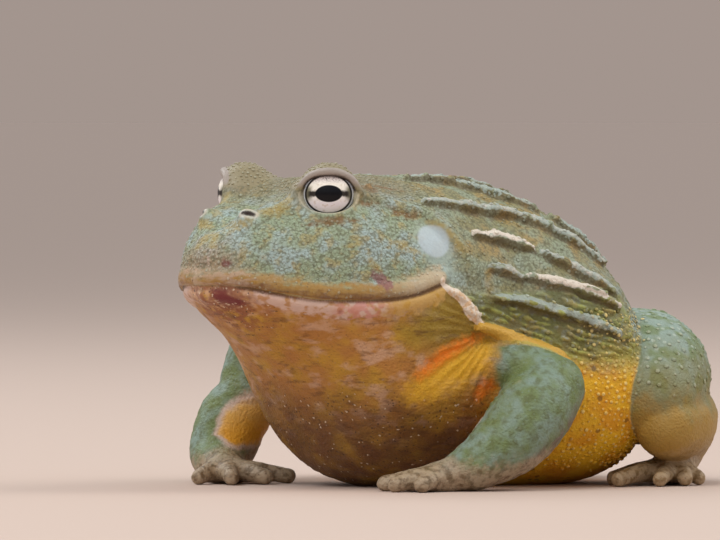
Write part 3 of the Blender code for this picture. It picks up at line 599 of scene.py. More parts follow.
def trunk_field():
    """Head and trunk as one field, with the lines of the folds at the jaw and along the flanks."""
    field = blend(loft(TRUNK), loft(HEAD), NECK_FILLET)
    eyes_on(field)
    folds = {"jaw": face_on(field), "flank": []}
    lips_on(field)
    for side in (1, -1):
        line = raise_line(field, on_side(side, FLANK_FOLD), FLANK_FOLD_LEVEL, FLANK_FOLD_FILLET)
        folds["flank"].append(line)
        furrow = [(x, y, z - FLANK_FURROW_DROP, FLANK_FURROW["radius"]) for x, y, z, _ in FLANK_FOLD[:-3]]
        carve_line(field, on_side(side, furrow), FLANK_FURROW["level"], FLANK_FURROW["fillet"])
    return field, folds


# Where the limbs leave the trunk: x, y, z and the width of the fillet there.
LIMB_ROOTS = {
    "arm_left": (42, -10, 36, SHOULDER_FILLET), "arm_right": (-48, -19, 42, SHOULDER_FILLET),
    "leg_left": (31, 55.5, 34, HIP_FILLET), "leg_right": (-31, 55.5, 34, HIP_FILLET),
}
ROOT_REACH = 16.0
ROOT_SHARE = 1.4
LIMB_CREASE = 0.6


def skin_field(trunk, limbs):
    """The whole skin: trunk and limbs, with fillets at the limbs' roots and creases elsewhere."""
    field = trunk.copy()
    for name, (*spot, fillet) in LIMB_ROOTS.items():
        part, near = limbs[name]
        x, y, z = (axis[cut] - middle for axis, cut, middle in zip(AXES, part, spot))
        far = np.sqrt(x[:, None, None] ** 2 + y[None, :, None] ** 2 + z[None, None, :] ** 2) / ROOT_REACH
        width = LIMB_CREASE + fillet * np.clip(ROOT_SHARE - far, 0, 1)
        field[part] = blend(field[part], near, width)
    return np.maximum(field, -AXES[2][None, None, :]).astype(np.float32)


def fade(value, low, high):
    """0 below low, 1 above high, and a smooth step between; the other way round if low is above high."""
    t = np.clip((value - low) / (high - low), 0, 1)
    return t * t * (3 - 2 * t)


def wander(points, size, seed):
    """Smooth noise between -1 and 1, with features of about the given size."""
    count = 32
    lattice = np.random.default_rng(seed).uniform(-1, 1, (count, count, count))
    place = np.asarray(points) / size + count * 8
    cell = np.floor(place).astype(int)
    t = place - cell
    t = t * t * (3 - 2 * t)
    value = 0
    for i, j, k in np.ndindex(2, 2, 2):
        weight = np.ones(len(cell))
        for axis, side in enumerate((i, j, k)):
            weight = weight * (t[:, axis] if side else 1 - t[:, axis])
        a, b, c = ((cell + (i, j, k)) % count).T
        value = value + weight * lattice[a, b, c]
    return value


def turn_up(points):
    """Angle up from level about the body's axis, alike on both sides."""
    return np.degrees(np.arctan2(points[:, 2] - AXIS_HEIGHT, abs(points[:, 0])))


def far_from(points, rows, step=1.0):
    """Distance from points to a smooth path through rows, less the rows' radius there."""
    best = np.full(len(points), 1e3)
    for spot in smooth_path(rows, step):
        best = np.minimum(best, np.linalg.norm(points - spot[:3], axis=1) - spot[3])
    return best


def fade_from(points, spot, low, high):
    """0 and 1 at two distances from a spot, and a smooth step between."""
    return fade(np.linalg.norm(points - spot, axis=1), low, high)


def mouth_line(side):
    return [(*spot_on(side, point), 0) for point in MOUTH]


# Height of the edge between the dark back and the pale underside, by place on Y.
PALE_EDGE = (
    (-95, 60), (-86, 60), *((y, z) for _, y, z in MOUTH[1:]), (-26, 57), (-20, 50), (-12, 47), (0, 42.5),
    (8, 39), (15, 37), (24, 38), (34, 38), (44, 34), (54, 26), (64, 18), (80, 14),
)
# How softly it fades there.
PALE_SOFTNESS = ((-95, 0.6), (-31, 0.6), (-20, 1.2), (-5, 2), (8, 4), (20, 9), (80, 9))


def read_table(rows, places):
    table = np.array(rows, float)
    return np.interp(places, table[:, 0], table[:, 1])


def on_limbs(points, trunk, limbs):
    """How far each point belongs to the arms, legs, hands and feet: four masks."""
    away = read(trunk, points)
    masks = []
    for names, least in (
        (("arm_left", "arm_right"), 0.3), (("leg_left", "leg_right"), 0.3),
        (("hand_left", "hand_right"), 2.0), (("foot_left", "foot_right"), 2.0),
    ):
        near = np.minimum(*(read_shape(limbs[name], points) for name in names))
        masks.append(fade(near, least, -0.6) if least > 1 else fade(away - near, -0.2, 1.6))
    return masks


NECK_WRINKLES = {"spacing": 2.0, "height": 1.0, "lean": -0.32}
THROAT_WRINKLES = {"spacing": 2.0, "height": 0.16}
ARMPIT_FOLD_AT = (44, -16, 47)


def neck_wrinkles(points):
    """Where the neck and flank are wrinkled, and the wrinkles' wave there, from trough to crest."""
    y, z = points[:, 1], points[:, 2]
    turn = turn_up(points)
    edge = read_table(PALE_EDGE, y)
    down = np.radians(-turn) * 45
    phase = (down + NECK_WRINKLES["lean"] * y) / NECK_WRINKLES["spacing"]
    phase = phase + 0.6 * wander(points, 7, 6) + 0.4 * wander(points, 2.8, 15)
    wave = (0.5 + 0.5 * np.cos(2 * math.pi * phase)) ** 1.3
    broken = np.clip(0.55 + 0.95 * wander(points * (1, 0.55, 1), 1.4, 7), 0, 1)
    zone = fade(y, -30, -22) * fade(y, 42, 24) * fade(turn, 19, 12) * fade(z, edge - 3, edge + 2)
    return zone, wave * broken


def relief(points, arm, leg, hand):
    """How far the skin's wrinkles and unevenness lift each point, in millimetres."""
    x, y, z = points.T
    turn = turn_up(points)
    body = (1 - arm) * (1 - leg)
    edge = read_table(PALE_EDGE, y)
    above = fade(z - edge, -2, 2)
    head = fade(y, -22, -34) * above
    back = fade(y, -34, -22) * above * body
    lift = 0.14 * wander(points, 2.2, 1) + 0.06 * wander(points, 1.1, 2)
    lift = lift + head * 0.12 * wander(points, 1.6, 3)
    lift = lift + back * (0.5 * wander(points, 6, 4) + 0.3 * wander(points, 2.6, 5))

    zone, wave = neck_wrinkles(points)
    lift = lift + zone * body * NECK_WRINKLES["height"] * (wave - 0.3)

    throat = (1 - above) * body * fade(y, 8, -16)
    phase = (z + 0.25 * abs(x)) / THROAT_WRINKLES["spacing"] + 0.6 * wander(points, 9, 8)
    wave = np.cos(2 * math.pi * phase)
    lift = lift + throat * fade(z, 44, 20) * THROAT_WRINKLES["height"] * wave * (0.5 + wander(points, 8, 9))

    fan = np.arctan2(z - ARMPIT_FOLD_AT[2], -(y - ARMPIT_FOLD_AT[1]))
    reach = np.hypot(z - ARMPIT_FOLD_AT[2], y - ARMPIT_FOLD_AT[1])
    streaks = np.cos(fan * 34 + 1.5 * wander(points, 5, 10))
    zone = fade(reach, 30, 14) * fade(reach, 2, 6) * fade(abs(x), 34, 39) * fade(y, -14, -18)
    zone = zone * (1 - above) * (1 - arm)
    lift = lift + zone * 0.28 * streaks

    lift = lift + arm * 0.22 * wander(points, 3.4, 11) + leg * 0.25 * wander(points, 4.2, 12)
    creases = np.cos(2 * math.pi * (z / 1.9 + 0.6 * wander(points, 5, 13)))
    elbow = fade(abs(z - 27), 7, 2) * fade(abs(x), 56, 50) * arm
    lift = lift + elbow * 0.16 * creases + hand * 0.12 * wander(points, 1.8, 14)
    flat = fade(z, 0.3, 2.5)
    return lift * flat


def calm(points):
    """0 where the skin is drawn smooth, such as on ear, lids, lips and round the eye; 1 elsewhere."""
    value = np.ones(len(points))
    for side in (1, -1):
        for spot, low, high in ((EYE_AT, 10.5, 13.5), (EAR_AT, 6.0, 8.0), (NOSTRIL_AT, 2.8, 5.0)):
            value = value * fade_from(points, spot_on(side, spot), low, high)
        value = value * (0.25 + 0.75 * fade(far_from(points, mouth_line(side)), 4, 7))
    return value


def add_object(name, data):
    obj = bpy.data.objects.new(name, data)
    bpy.context.scene.collection.objects.link(obj)
    return obj


def plain_mesh(obj):
    """The object with its modifiers made real and removed."""
    graph = bpy.context.evaluated_depsgraph_get()
    mesh = bpy.data.meshes.new_from_object(obj.evaluated_get(graph))
    obj.modifiers.clear()
    obj.data = mesh
    mesh.name = obj.name
    return obj


def places_of(mesh):
    flat = np.empty(len(mesh.vertices) * 3, np.float32)
    mesh.vertices.foreach_get("co", flat)
    return flat.reshape(-1, 3).astype(float) / MM


def keep_largest(points, quads):
    """The quads of the largest connected surface, found by passing labels along edges."""
    label = np.arange(len(points))
    while True:
        least = label[quads].min(1)
        fresh = label.copy()
        for corner in range(4):
            np.minimum.at(fresh, quads[:, corner], least)
        fresh = np.minimum(fresh, fresh[fresh])
        if np.array_equal(fresh, label):
            break
        label = fresh
    names, counts = np.unique(label, return_counts=True)
    return quads[label[quads[:, 0]] == names[np.argmax(counts)]]


KEEP_STRENGTH = 0.00002


def thin(obj, count, weight):
    """Decimates a mesh to a number of triangles, keeping it finer where the weight is high."""
    group = obj.vertex_groups.new(name="fine")
    steps = np.round(weight * 8) / 8
    for level in np.unique(steps[steps > 0]):
        group.add(np.flatnonzero(steps == level).tolist(), float(level), "REPLACE")
    modifier = obj.modifiers.new("thin", "DECIMATE")
    modifier.ratio = count / (2 * len(obj.data.polygons))
    modifier.vertex_group = group.name
    modifier.invert_vertex_group = True
    modifier.vertex_group_factor = KEEP_STRENGTH
    return plain_mesh(obj)


def make_skin(trunk, limbs):
    field = skin_field(trunk, limbs)
    grid = openvdb.FloatGrid(FAR)
    grid.transform = openvdb.createLinearTransform(VOXEL)
    grid.copyFromArray(field, ijk=tuple(int(n) for n in FIRST))
    points, quads = grid.convertToQuads(0)
    quads = keep_largest(points, quads.astype(np.int64))
    used = np.unique(quads)
    renumber = np.zeros(len(points), np.int64)
    renumber[used] = np.arange(len(used))
    points = points[used].astype(float)
    quads = renumber[quads]
    normals = slope(field, points)
    arm, leg, hand, foot = on_limbs(points, trunk, limbs)
    lift = relief(points, arm, leg, np.maximum(hand, foot)) * calm(points)
    points = points + normals * lift[:, None]
    points[:, 2] = np.maximum(points[:, 2], 0)
    mesh = bpy.data.meshes.new("skin")
    mesh.from_pydata(points * MM, [], quads)
    skin = add_object("skin", mesh)
    face = fade(points[:, 1], -18, -30) * fade(points[:, 2], 44, 54)
    sides = 0.5 * fade(points[:, 2], 20, 36)
    thin(skin, SKIN_TRIANGLES, np.maximum(face, sides))
    return skin, field


# Markings of the left side of the head, as strokes along rows of x, y, z and radius.
RUST_STROKES = (
    ((28.8, -52.8, 84.7, 0.5), (28.2, -49.3, 83.8, 1.0), (28.9, -45.3, 84.1, 0.6)),
    ((16.1, -39.1, 89.6, 0.5), (19.5, -36.6, 88.7, 0.9), (23.3, -31.4, 87.5, 0.6)),
    ((30.4, -42.8, 82.9, 0.7), (31.9, -40.2, 81.2, 1.5), (33.8, -36.4, 80.0, 1.3)),
    ((22.2, -68.3, 77.2, 0.4), (24.0, -64.8, 78.4, 1.2), (26.4, -61.5, 78.6, 1.5), (28.9, -57.5, 78.9, 1.1),
     (31.1, -53.3, 78.9, 0.5)),
)
OCHRE_STROKES = (
    ((35.7, -32.7, 78.5, 0.8), (38.0, -29.2, 77.3, 1.5), (39.9, -27.0, 74.7, 1.5), (41.5, -25.3, 72.1, 1.4),
     (42.7, -24.0, 69.1, 0.8)),
    ((12.0, -76.1, 81.2, 1.4), (13.9, -73.1, 81.5, 2.2), (14.6, -69.1, 83.3, 2.2), (14.1, -66.5, 85.6, 1.6)),
    ((3.5, -81.9, 77.4, 1.2), (9.1, -81.3, 78.1, 1.5), (11.8, -79.7, 78.9, 1.0)),
    ((3.4, -86.4, 71.9, 1.6), (1.0, -84.5, 75.6, 2.0)),
    ((32.2, -58.7, 71.7, 1.0), (33.1, -56.5, 72.5, 1.4)),
    ((36.0, -54.3, 67.0, 1.2), (37.1, -52.2, 65.3, 1.4)),
    ((36.4, -46.3, 72.5, 0.8), (37.5, -43.4, 71.6, 1.2), (39.2, -38.7, 69.8, 0.8)),
)
RAW_SPOTS = (
    ((8.6, -86.7, 67.0, 1.2), (9.6, -86.0, 66.4, 1.0)),
    ((4.6, -86.6, 58.0, 1.6), (7.8, -85.0, 56.0, 2.6), (10.6, -83.0, 54.6, 1.8)),
    ((30.7, -61.3, 52.7, 0.9), (31.2, -60.6, 52.4, 0.8)),
)
SORE_AT = (7.5, -85, 56)
PURPLE_STROKES = (((36.4, -53.5, 63.8, 0.8), (37.4, -52.0, 62.0, 1.6), (38.8, -50.0, 60.4, 1.6)),)
EAR_GLOW = ((38.8, -32.5, 73.0, 5.0), (41.3, -31.5, 66.9, 5.0), (43.2, -30.7, 63.1, 2.5))
ORANGE_STROKES = (
    ((45.6, -18.5, 45.4, 0.8), (43.6, -26.3, 42.5, 1.9), (42.0, -31.0, 39.5, 2.4), (39.5, -37.7, 33.6, 2.0)),
    ((44.7, -13.8, 34.4, 2.2), (43.3, -16.4, 30.6, 2.4), (42.0, -18.0, 27.7, 1.5)),
)
YELLOW_STROKES = (((45.5, -18.0, 40.0, 4.0), (42.5, -27.0, 35.0, 6.5), (38.5, -38.0, 28.0, 5.0)),)
CHIN_AT = (4, -86, 54)
ARM_ROOT = (42, -19, 37)
# Marks made of strokes on the trunk: the strokes, how soft their edges are, and the sides that have them.
STROKES = {
    "rust": (RUST_STROKES, 1.5), "ochre": (OCHRE_STROKES, 2.0), "raw": (RAW_SPOTS, 2.0, (1,)),
    "purple": (PURPLE_STROKES, 1.8, (1,)), "glow": ((EAR_GLOW,), 4.0), "orange": (ORANGE_STROKES, 4.0),
}


def near_strokes(points, strokes, soft, sides=(1, -1)):
    """1 on the strokes, fading to 0 within a soft edge."""
    lines = [on_side(side, rows) for side in sides for rows in strokes]
    return np.max([fade(far_from(points, line), soft, -soft) for line in lines], axis=0)


def over_sides(measure):
    """Masks as they are measured for one side, each at its highest over both sides."""
    return np.maximum(*(np.array(measure(side)) for side in (1, -1)))


def ridge_marks(points, paths):
    """Masks of the ridges' crests, of how pale they are, and of painted shadow below them."""
    crest, pale, ridge_shadow = np.zeros((3, len(points)))
    for side, paleness, path in paths:
        low, high = path[:, :3].min(0) - 7, path[:, :3].max(0) + 7
        near = np.flatnonzero(np.all((points > low) & (points < high), axis=1))
        gap = points[near][:, None] - path[None, :, :3]
        reach = np.linalg.norm(gap, axis=2)
        closest = np.argmin(reach, axis=1)
        rows = np.arange(len(near))
        gap, reach, radius = gap[rows, closest], reach[rows, closest], path[closest, 3]
        turn = np.radians(turn_up(points[near]))
        drop = gap[:, 0] * side * np.sin(turn) - gap[:, 2] * np.cos(turn)
        ends = fade(radius, 0.5, 0.95)
        top = fade(reach, radius + 0.7, radius + 0.2) * fade(drop, radius * 0.75, radius * 0.3) * ends
        # Painted shadow: the skin just below a ridge's crest is darkened as if in its shade.
        under = fade(drop, radius * 0.35, radius * 0.9) * fade(reach, radius + 1.9, radius + 0.4) * ends
        for mask, value in ((crest, top), (pale, top * paleness), (ridge_shadow, under)):
            mask[near] = np.maximum(mask[near], value)
    return crest, pale, ridge_shadow


def lip_marks(points):
    """Nearness to the mouth's line on the upper and on the lower lip, and a mask of the line itself for its
    painted shade.
    """
    height = points[:, 2] - read_table([(y, z) for _, y, z in MOUTH], points[:, 1])
    front = fade(points[:, 1], -29, -33)

    def measure(side):
        reach = far_from(points, mouth_line(side), 0.8)
        near = np.clip(1 - reach / 10, 0, 1) * front
        return near * fade(height, -0.3, 0.6), near * fade(height, 0.2, -0.6), fade(reach, 1.1, 0.4) * front

    return over_sides(measure)


def eye_marks(points):
    """Masks of the upper and lower lids, the upper lid's rim and painted shadow at the rim's inner edge."""
    def measure(side):
        centre, _, up, out = eye_frame(side)
        offset = points - centre
        reach, height = np.linalg.norm(offset, axis=1), offset @ up
        edge = fade(far_from(points, lid_path(side, UPPER_LID), 0.8), 0.6, 0.15)
        return (
            fade(reach, 11.8, 10.4) * fade(height, 0.5, 3.0),
            fade(reach, 10.8, 9.6) * fade(height, 1.5, -1.0) * fade(offset @ out, 1, 3),
            edge * fade(height, 1.0, 3.6),
            # Painted shadow where the upper lid's rim meets the eyeball.
            edge * fade(reach, 9.35, 8.9),
        )

    return over_sides(measure)


def nostril_marks(points, trunk):
    """Masks of the nostrils' pale rims and of the slits in them, which are painted dark as shade."""
    def measure(side):
        path = [(*settle(trunk, [row[:3]])[0], row[3]) for row in nostril(trunk, side)[1]]
        reach = far_from(points, path, 0.5)
        return fade(reach, 1.5, 0.7), fade(reach, 0.35, -0.15)

    return over_sides(measure)


def near_folds(points, lines):
    """1 on folds with the given lines, fading to 0 beside them."""
    return fade(np.minimum(*(far_from(points, line) for line in lines)), 0.9, 0.2)


def marks(points, normals, trunk, limbs, paths, folds):
    """The masks that the skin's material reads, by name."""
    x, y, z = points.T
    arm, leg, hand, foot = on_limbs(points, trunk, limbs)
    arm = arm * fade(np.linalg.norm(points - ARM_ROOT, axis=1) + 2 * wander(points, 3, 22), 4, 12)
    body = (1 - arm) * (1 - leg)
    edge = read_table(PALE_EDGE, y) + 1.2 * wander(points, 5, 21) * fade(y, -20, 5)
    soft = read_table(PALE_SOFTNESS, y)
    under = fade(z, edge + soft, edge - soft)
    above = (1 - under) * body
    crest, pale, ridge_shadow = ridge_marks(points, paths)
    upper, lower, line = lip_marks(points)
    lid, lid_low, rim, inner = eye_marks(points)
    mound, slit = nostril_marks(points, trunk)
    quiet = calm(points)
    turn = turn_up(points)
    zone, wave = neck_wrinkles(points)
    inward = -np.sign(x) * normals[:, 0]
    low_face = fade(0.8 * normals[:, 1] - 0.9 * normals[:, 2], 0.15, 0.8)
    found = {
        "under": under, "head": fade(y, -18, -34), "crest": crest, "pale": pale,
        # The painted shadow under the ridges is weaker on the pale underside.
        "ridge_shadow": ridge_shadow * (1 - 0.7 * under), "upper_lip": upper, "lower_lip": lower, "mouth": line,
        # lid_shadow: painted shadow at the upper lid rim's inner edge.
        "lid": lid, "lid_low": lid_low, "rim": rim, "lid_shadow": inner, "nostril": mound, "slit": slit,
        "ear": over_sides(lambda side: fade_from(points, spot_on(side, EAR_AT), 6.2, 4.4)),
        "sore": fade_from(points, SORE_AT, 8.5, 1.5),
        "white_fold": near_folds(points, folds["jaw"]), "flank_fold": near_folds(points, folds["flank"]),
        "yellow": near_strokes(points, YELLOW_STROKES, 7.0) * under,
        "chin": fade_from(points, CHIN_AT, 26, 6) * under,
        "warty": fade(y, 8, 18) * fade(y, 54, 46) * fade(turn, 12, 4) * fade(turn, -50, -40),
        "back_grain": fade(turn, 12, 26) * fade(y, -24, -14) * fade(y, 66, 50) * (0.25 + 0.75 * crest),
        "lid_grain": lid * (1 - rim),
    }
    for name, stroke in STROKES.items():
        found[name] = near_strokes(points, *stroke)
    found = {name: value * body for name, value in found.items()}
    neck = fade(y, -26, -20) * fade(y, 30, 18) * fade(turn, 22, 14) * above * fade(wave, 0.4, 0.8)
    found.update({
        "arm": arm, "leg": leg, "hand": hand, "foot": foot, "quiet": 1 - quiet,
        "cone": fade_from(points, CONE_WART, 1.5, 0.8), "cone_base": fade_from(points, CONE_WART, 4.0, 2.0),
        # wrinkle_shade: painted shade in the troughs between the neck's wrinkles.
        "wrinkled": zone, "wrinkle_shade": zone * fade(wave, 0.55, 0.15),
        "inner_arm": arm * fade(inward, 0.3, 0.8) * fade(z, 8, 13) * fade(z, 31, 20),
        "low_face": low_face * (arm + leg) * fade(z, 34, 26),
        "head_grain": fade(y, -16, -26) * above * quiet * (1 - crest), "neck_grain": neck,
        "leg_grain": leg * fade(z, 22, 34) * (1 - foot),
    })
    return found


def keep_marks(mesh, found):
    for name, values in found.items():
        layer = mesh.attributes.new(name, "FLOAT", "POINT")
        layer.data.foreach_set("value", values.astype(np.float32))


class Wire:
    """A socket in a node tree. Arithmetic on it adds Math nodes to the tree."""

    def __init__(self, tree, socket):
        self.tree = tree
        self.socket = socket

    def maths(self, operation, *values):
        return self.tree.add("ShaderNodeMath", {"operation": operation}, dict(enumerate(values)))

    def __add__(self, other):
        return self.maths("ADD", self, other)

    def __radd__(self, other):
        return self.maths("ADD", other, self)

    def __sub__(self, other):
        return self.maths("SUBTRACT", self, other)

    def __rsub__(self, other):
        return self.maths("SUBTRACT", other, self)

    def __mul__(self, other):
        return self.maths("MULTIPLY", self, other)

    def __rmul__(self, other):
        return self.maths("MULTIPLY", other, self)

    def __truediv__(self, other):
        return self.maths("DIVIDE", self, other)

    def root(self):
        return self.maths("SQRT", self)

    def size(self):
        return self.maths("ABSOLUTE", self)


class Tree:
    """A node tree that nodes are added to."""

    def __init__(self, nodes):
        self.nodes = nodes

    def add(self, kind, settings=None, inputs=None, out=0):
        """A new node with its settings and inputs; gives the output asked for, or a list of several."""
        node = self.nodes.nodes.new(kind)
        for name, value in (settings or {}).items():
            setattr(node, name, value)
        for name, value in (inputs or {}).items():
            self.feed(node.inputs[name], value)
        if isinstance(out, tuple):
            return [Wire(self, node.outputs[name]) for name in out]
        return Wire(self, node.outputs[out])

    def feed(self, socket, value):
        if isinstance(value, Wire):
            self.nodes.links.new(value.socket, socket)
        else:
            socket.default_value = value

    def split(self, where):
        return self.add("ShaderNodeSeparateXYZ", None, {0: where}, (0, 1, 2))

    def fade(self, value, low, high):
        inputs = {"Value": value, "From Min": low, "From Max": high}
        return self.add("ShaderNodeMapRange", {"interpolation_type": "SMOOTHSTEP"}, inputs)

    def mix(self, first, *layers):
        """The first colour under layers, each a colour and how far it covers what is below."""
        for shade, cover in layers:
            inputs = {0: cover, 6: first, 7: shade}
            first = self.add("ShaderNodeMix", {"data_type": "RGBA"}, inputs, 2)
        return first


class Paint(Tree):
    """A material being built round its Principled BSDF, with places in millimetres."""

    def __init__(self, name):
        self.material = bpy.data.materials.new(name)
        self.material.use_nodes = True
        super().__init__(self.material.node_tree)
        place = self.add("ShaderNodeTexCoord", out="Object")
        self.where = self.add("ShaderNodeVectorMath", {"operation": "SCALE"}, {0: place, "Scale": 1 / MM})

    def mask(self, name, out="Fac"):
        return self.add("ShaderNodeAttribute", {"attribute_name": name}, out=out)

    def vector(self, operation, *values):
        return self.add("ShaderNodeVectorMath", {"operation": operation}, dict(enumerate(values)))

    def pattern(self, kind, where, size, seed, out=0, **more):
        """A procedural texture of features of about the given size, moved by its seed."""
        moved = self.vector("ADD", where, (seed * 17.3, seed * 9.1, seed * 23.7))
        return self.add("ShaderNodeTex" + kind, None, {"Vector": moved, "Scale": 1 / size, **more}, out)

    def noise(self, size, seed, detail=2.0, stretch=None):
        where = self.vector("MULTIPLY", self.where, stretch) if stretch else self.where
        return self.pattern("Noise", where, size, seed, Detail=detail)

    def warped(self, size, strength, seed):
        """Places moved about by noise, to break up what is too even."""
        colour = self.pattern("Noise", self.where, size, seed, "Color")
        return self.vector("MULTIPLY_ADD", colour, (strength,) * 3, self.where)

    def specks(self, where, size, seed, share, reach=0.3):
        """Dots in a share of the cells of the given size."""
        chance = self.split(self.pattern("Voronoi", where, size, seed, "Color"))[0]
        dot = self.fade(self.pattern("Voronoi", where, size, seed), reach, reach * 0.6)
        return dot * self.fade(chance, share, share - 0.05)

    def bump(self, height, distance, strength):
        inputs = {"Height": height, "Distance": distance * MM, "Strength": strength}
        return self.add("ShaderNodeBump", None, inputs)

    def finish(self, **values):
        """Feeds the shader's inputs, whose names are given with _ for a space."""
        for name, value in values.items():
            self.feed(self.nodes.nodes["Principled BSDF"].inputs[name.replace("_", " ")], value)
        return self.material


def tone(red, green, blue):
    """A colour given as screen values from 0 to 255, as the shader's linear values."""
    linear = []
    for value in (red, green, blue):
        share = value / 255
        linear.append(share / 12.92 if share < 0.04045 else ((share + 0.055) / 1.055) ** 2.4)
    return (*linear, 1.0)


OLIVE = tone(140, 136, 96)
TOP_OLIVE = tone(134, 118, 82)
OLIVE_DARK = tone(78, 74, 34)
OLIVE_GREEN = tone(156, 160, 76)
OCHRE = tone(158, 136, 84)
MUSTARD = tone(166, 146, 84)
FOLD_GOLD = tone(206, 158, 58)
GREEN_GREY = tone(146, 158, 134)
BLUE_GREY = tone(160, 178, 174)
SEA_GREEN = tone(148, 162, 134)
# Painted shade between the granules.
PIT_SHADE = tone(94, 92, 64)
GRAIN_PALE = tone(190, 202, 188)
CREST_PALE = tone(230, 216, 200)
CREST_GREY = tone(168, 182, 178)
# Painted shadow under the back's ridges.
RIDGE_SHADOW = tone(84, 62, 36)
RUST = tone(122, 88, 46)
EAR_BLUE = tone(184, 198, 206)
LID_GREY = tone(146, 134, 104)
LID_LOW = tone(212, 202, 178)
LID_RIM = tone(164, 152, 146)
# Painted shadow at the lid's inner edge.
LID_SHADOW = tone(52, 36, 28)
# Painted shade in the nostrils.
NOSTRIL_SHADE = tone(44, 30, 24)
SNOUT_BEIGE = tone(158, 138, 114)
SNOUT_ROSE = tone(190, 164, 146)
LIP_OLIVE = tone(158, 142, 98)
LIP_OCHRE = tone(164, 122, 50)
# Painted shade under the upper lip.
LIP_SHADE = tone(124, 78, 24)
LIP_ROSE = tone(218, 190, 178)
LIP_PINK = tone(206, 132, 128)
LIP_REAR = tone(200, 182, 152)
# Painted shade in the mouth's crease.
MOUTH_SHADE = tone(86, 50, 16)
THROAT_OCHRE = tone(180, 124, 58)
THROAT_YELLOW = tone(196, 152, 44)
THROAT_ROSE = tone(208, 168, 138)
THROAT_BROWN = tone(88, 52, 24)
THROAT_OLIVE = tone(140, 116, 30)
CHIN_RUST = tone(150, 90, 52)
SPECK_PALE = tone(228, 212, 188)
SPECK_DARK = tone(70, 46, 28)
BELLY_YELLOW = tone(236, 186, 36)
BELLY_AMBER = tone(226, 160, 26)
WART_CREAM = tone(232, 206, 132)
OCHRE_PALE = tone(214, 164, 100)
ORANGE = tone(240, 122, 14)
YELLOW = tone(236, 182, 44)
RAW_RED = tone(112, 28, 38)
SORE_BROWN = tone(124, 66, 48)
PURPLE = tone(136, 84, 90)
ARM_GREEN = tone(108, 124, 76)
ARM_BLUE = tone(126, 146, 132)
ARM_OLIVE = tone(84, 90, 40)
ARM_PURPLE = tone(112, 86, 84)
SAND = tone(170, 148, 122)
SAND_DARK = tone(116, 92, 66)
LEG_BLUE = tone(140, 158, 146)
LEG_OLIVE = tone(122, 116, 62)
LEG_GOLD = tone(166, 126, 46)


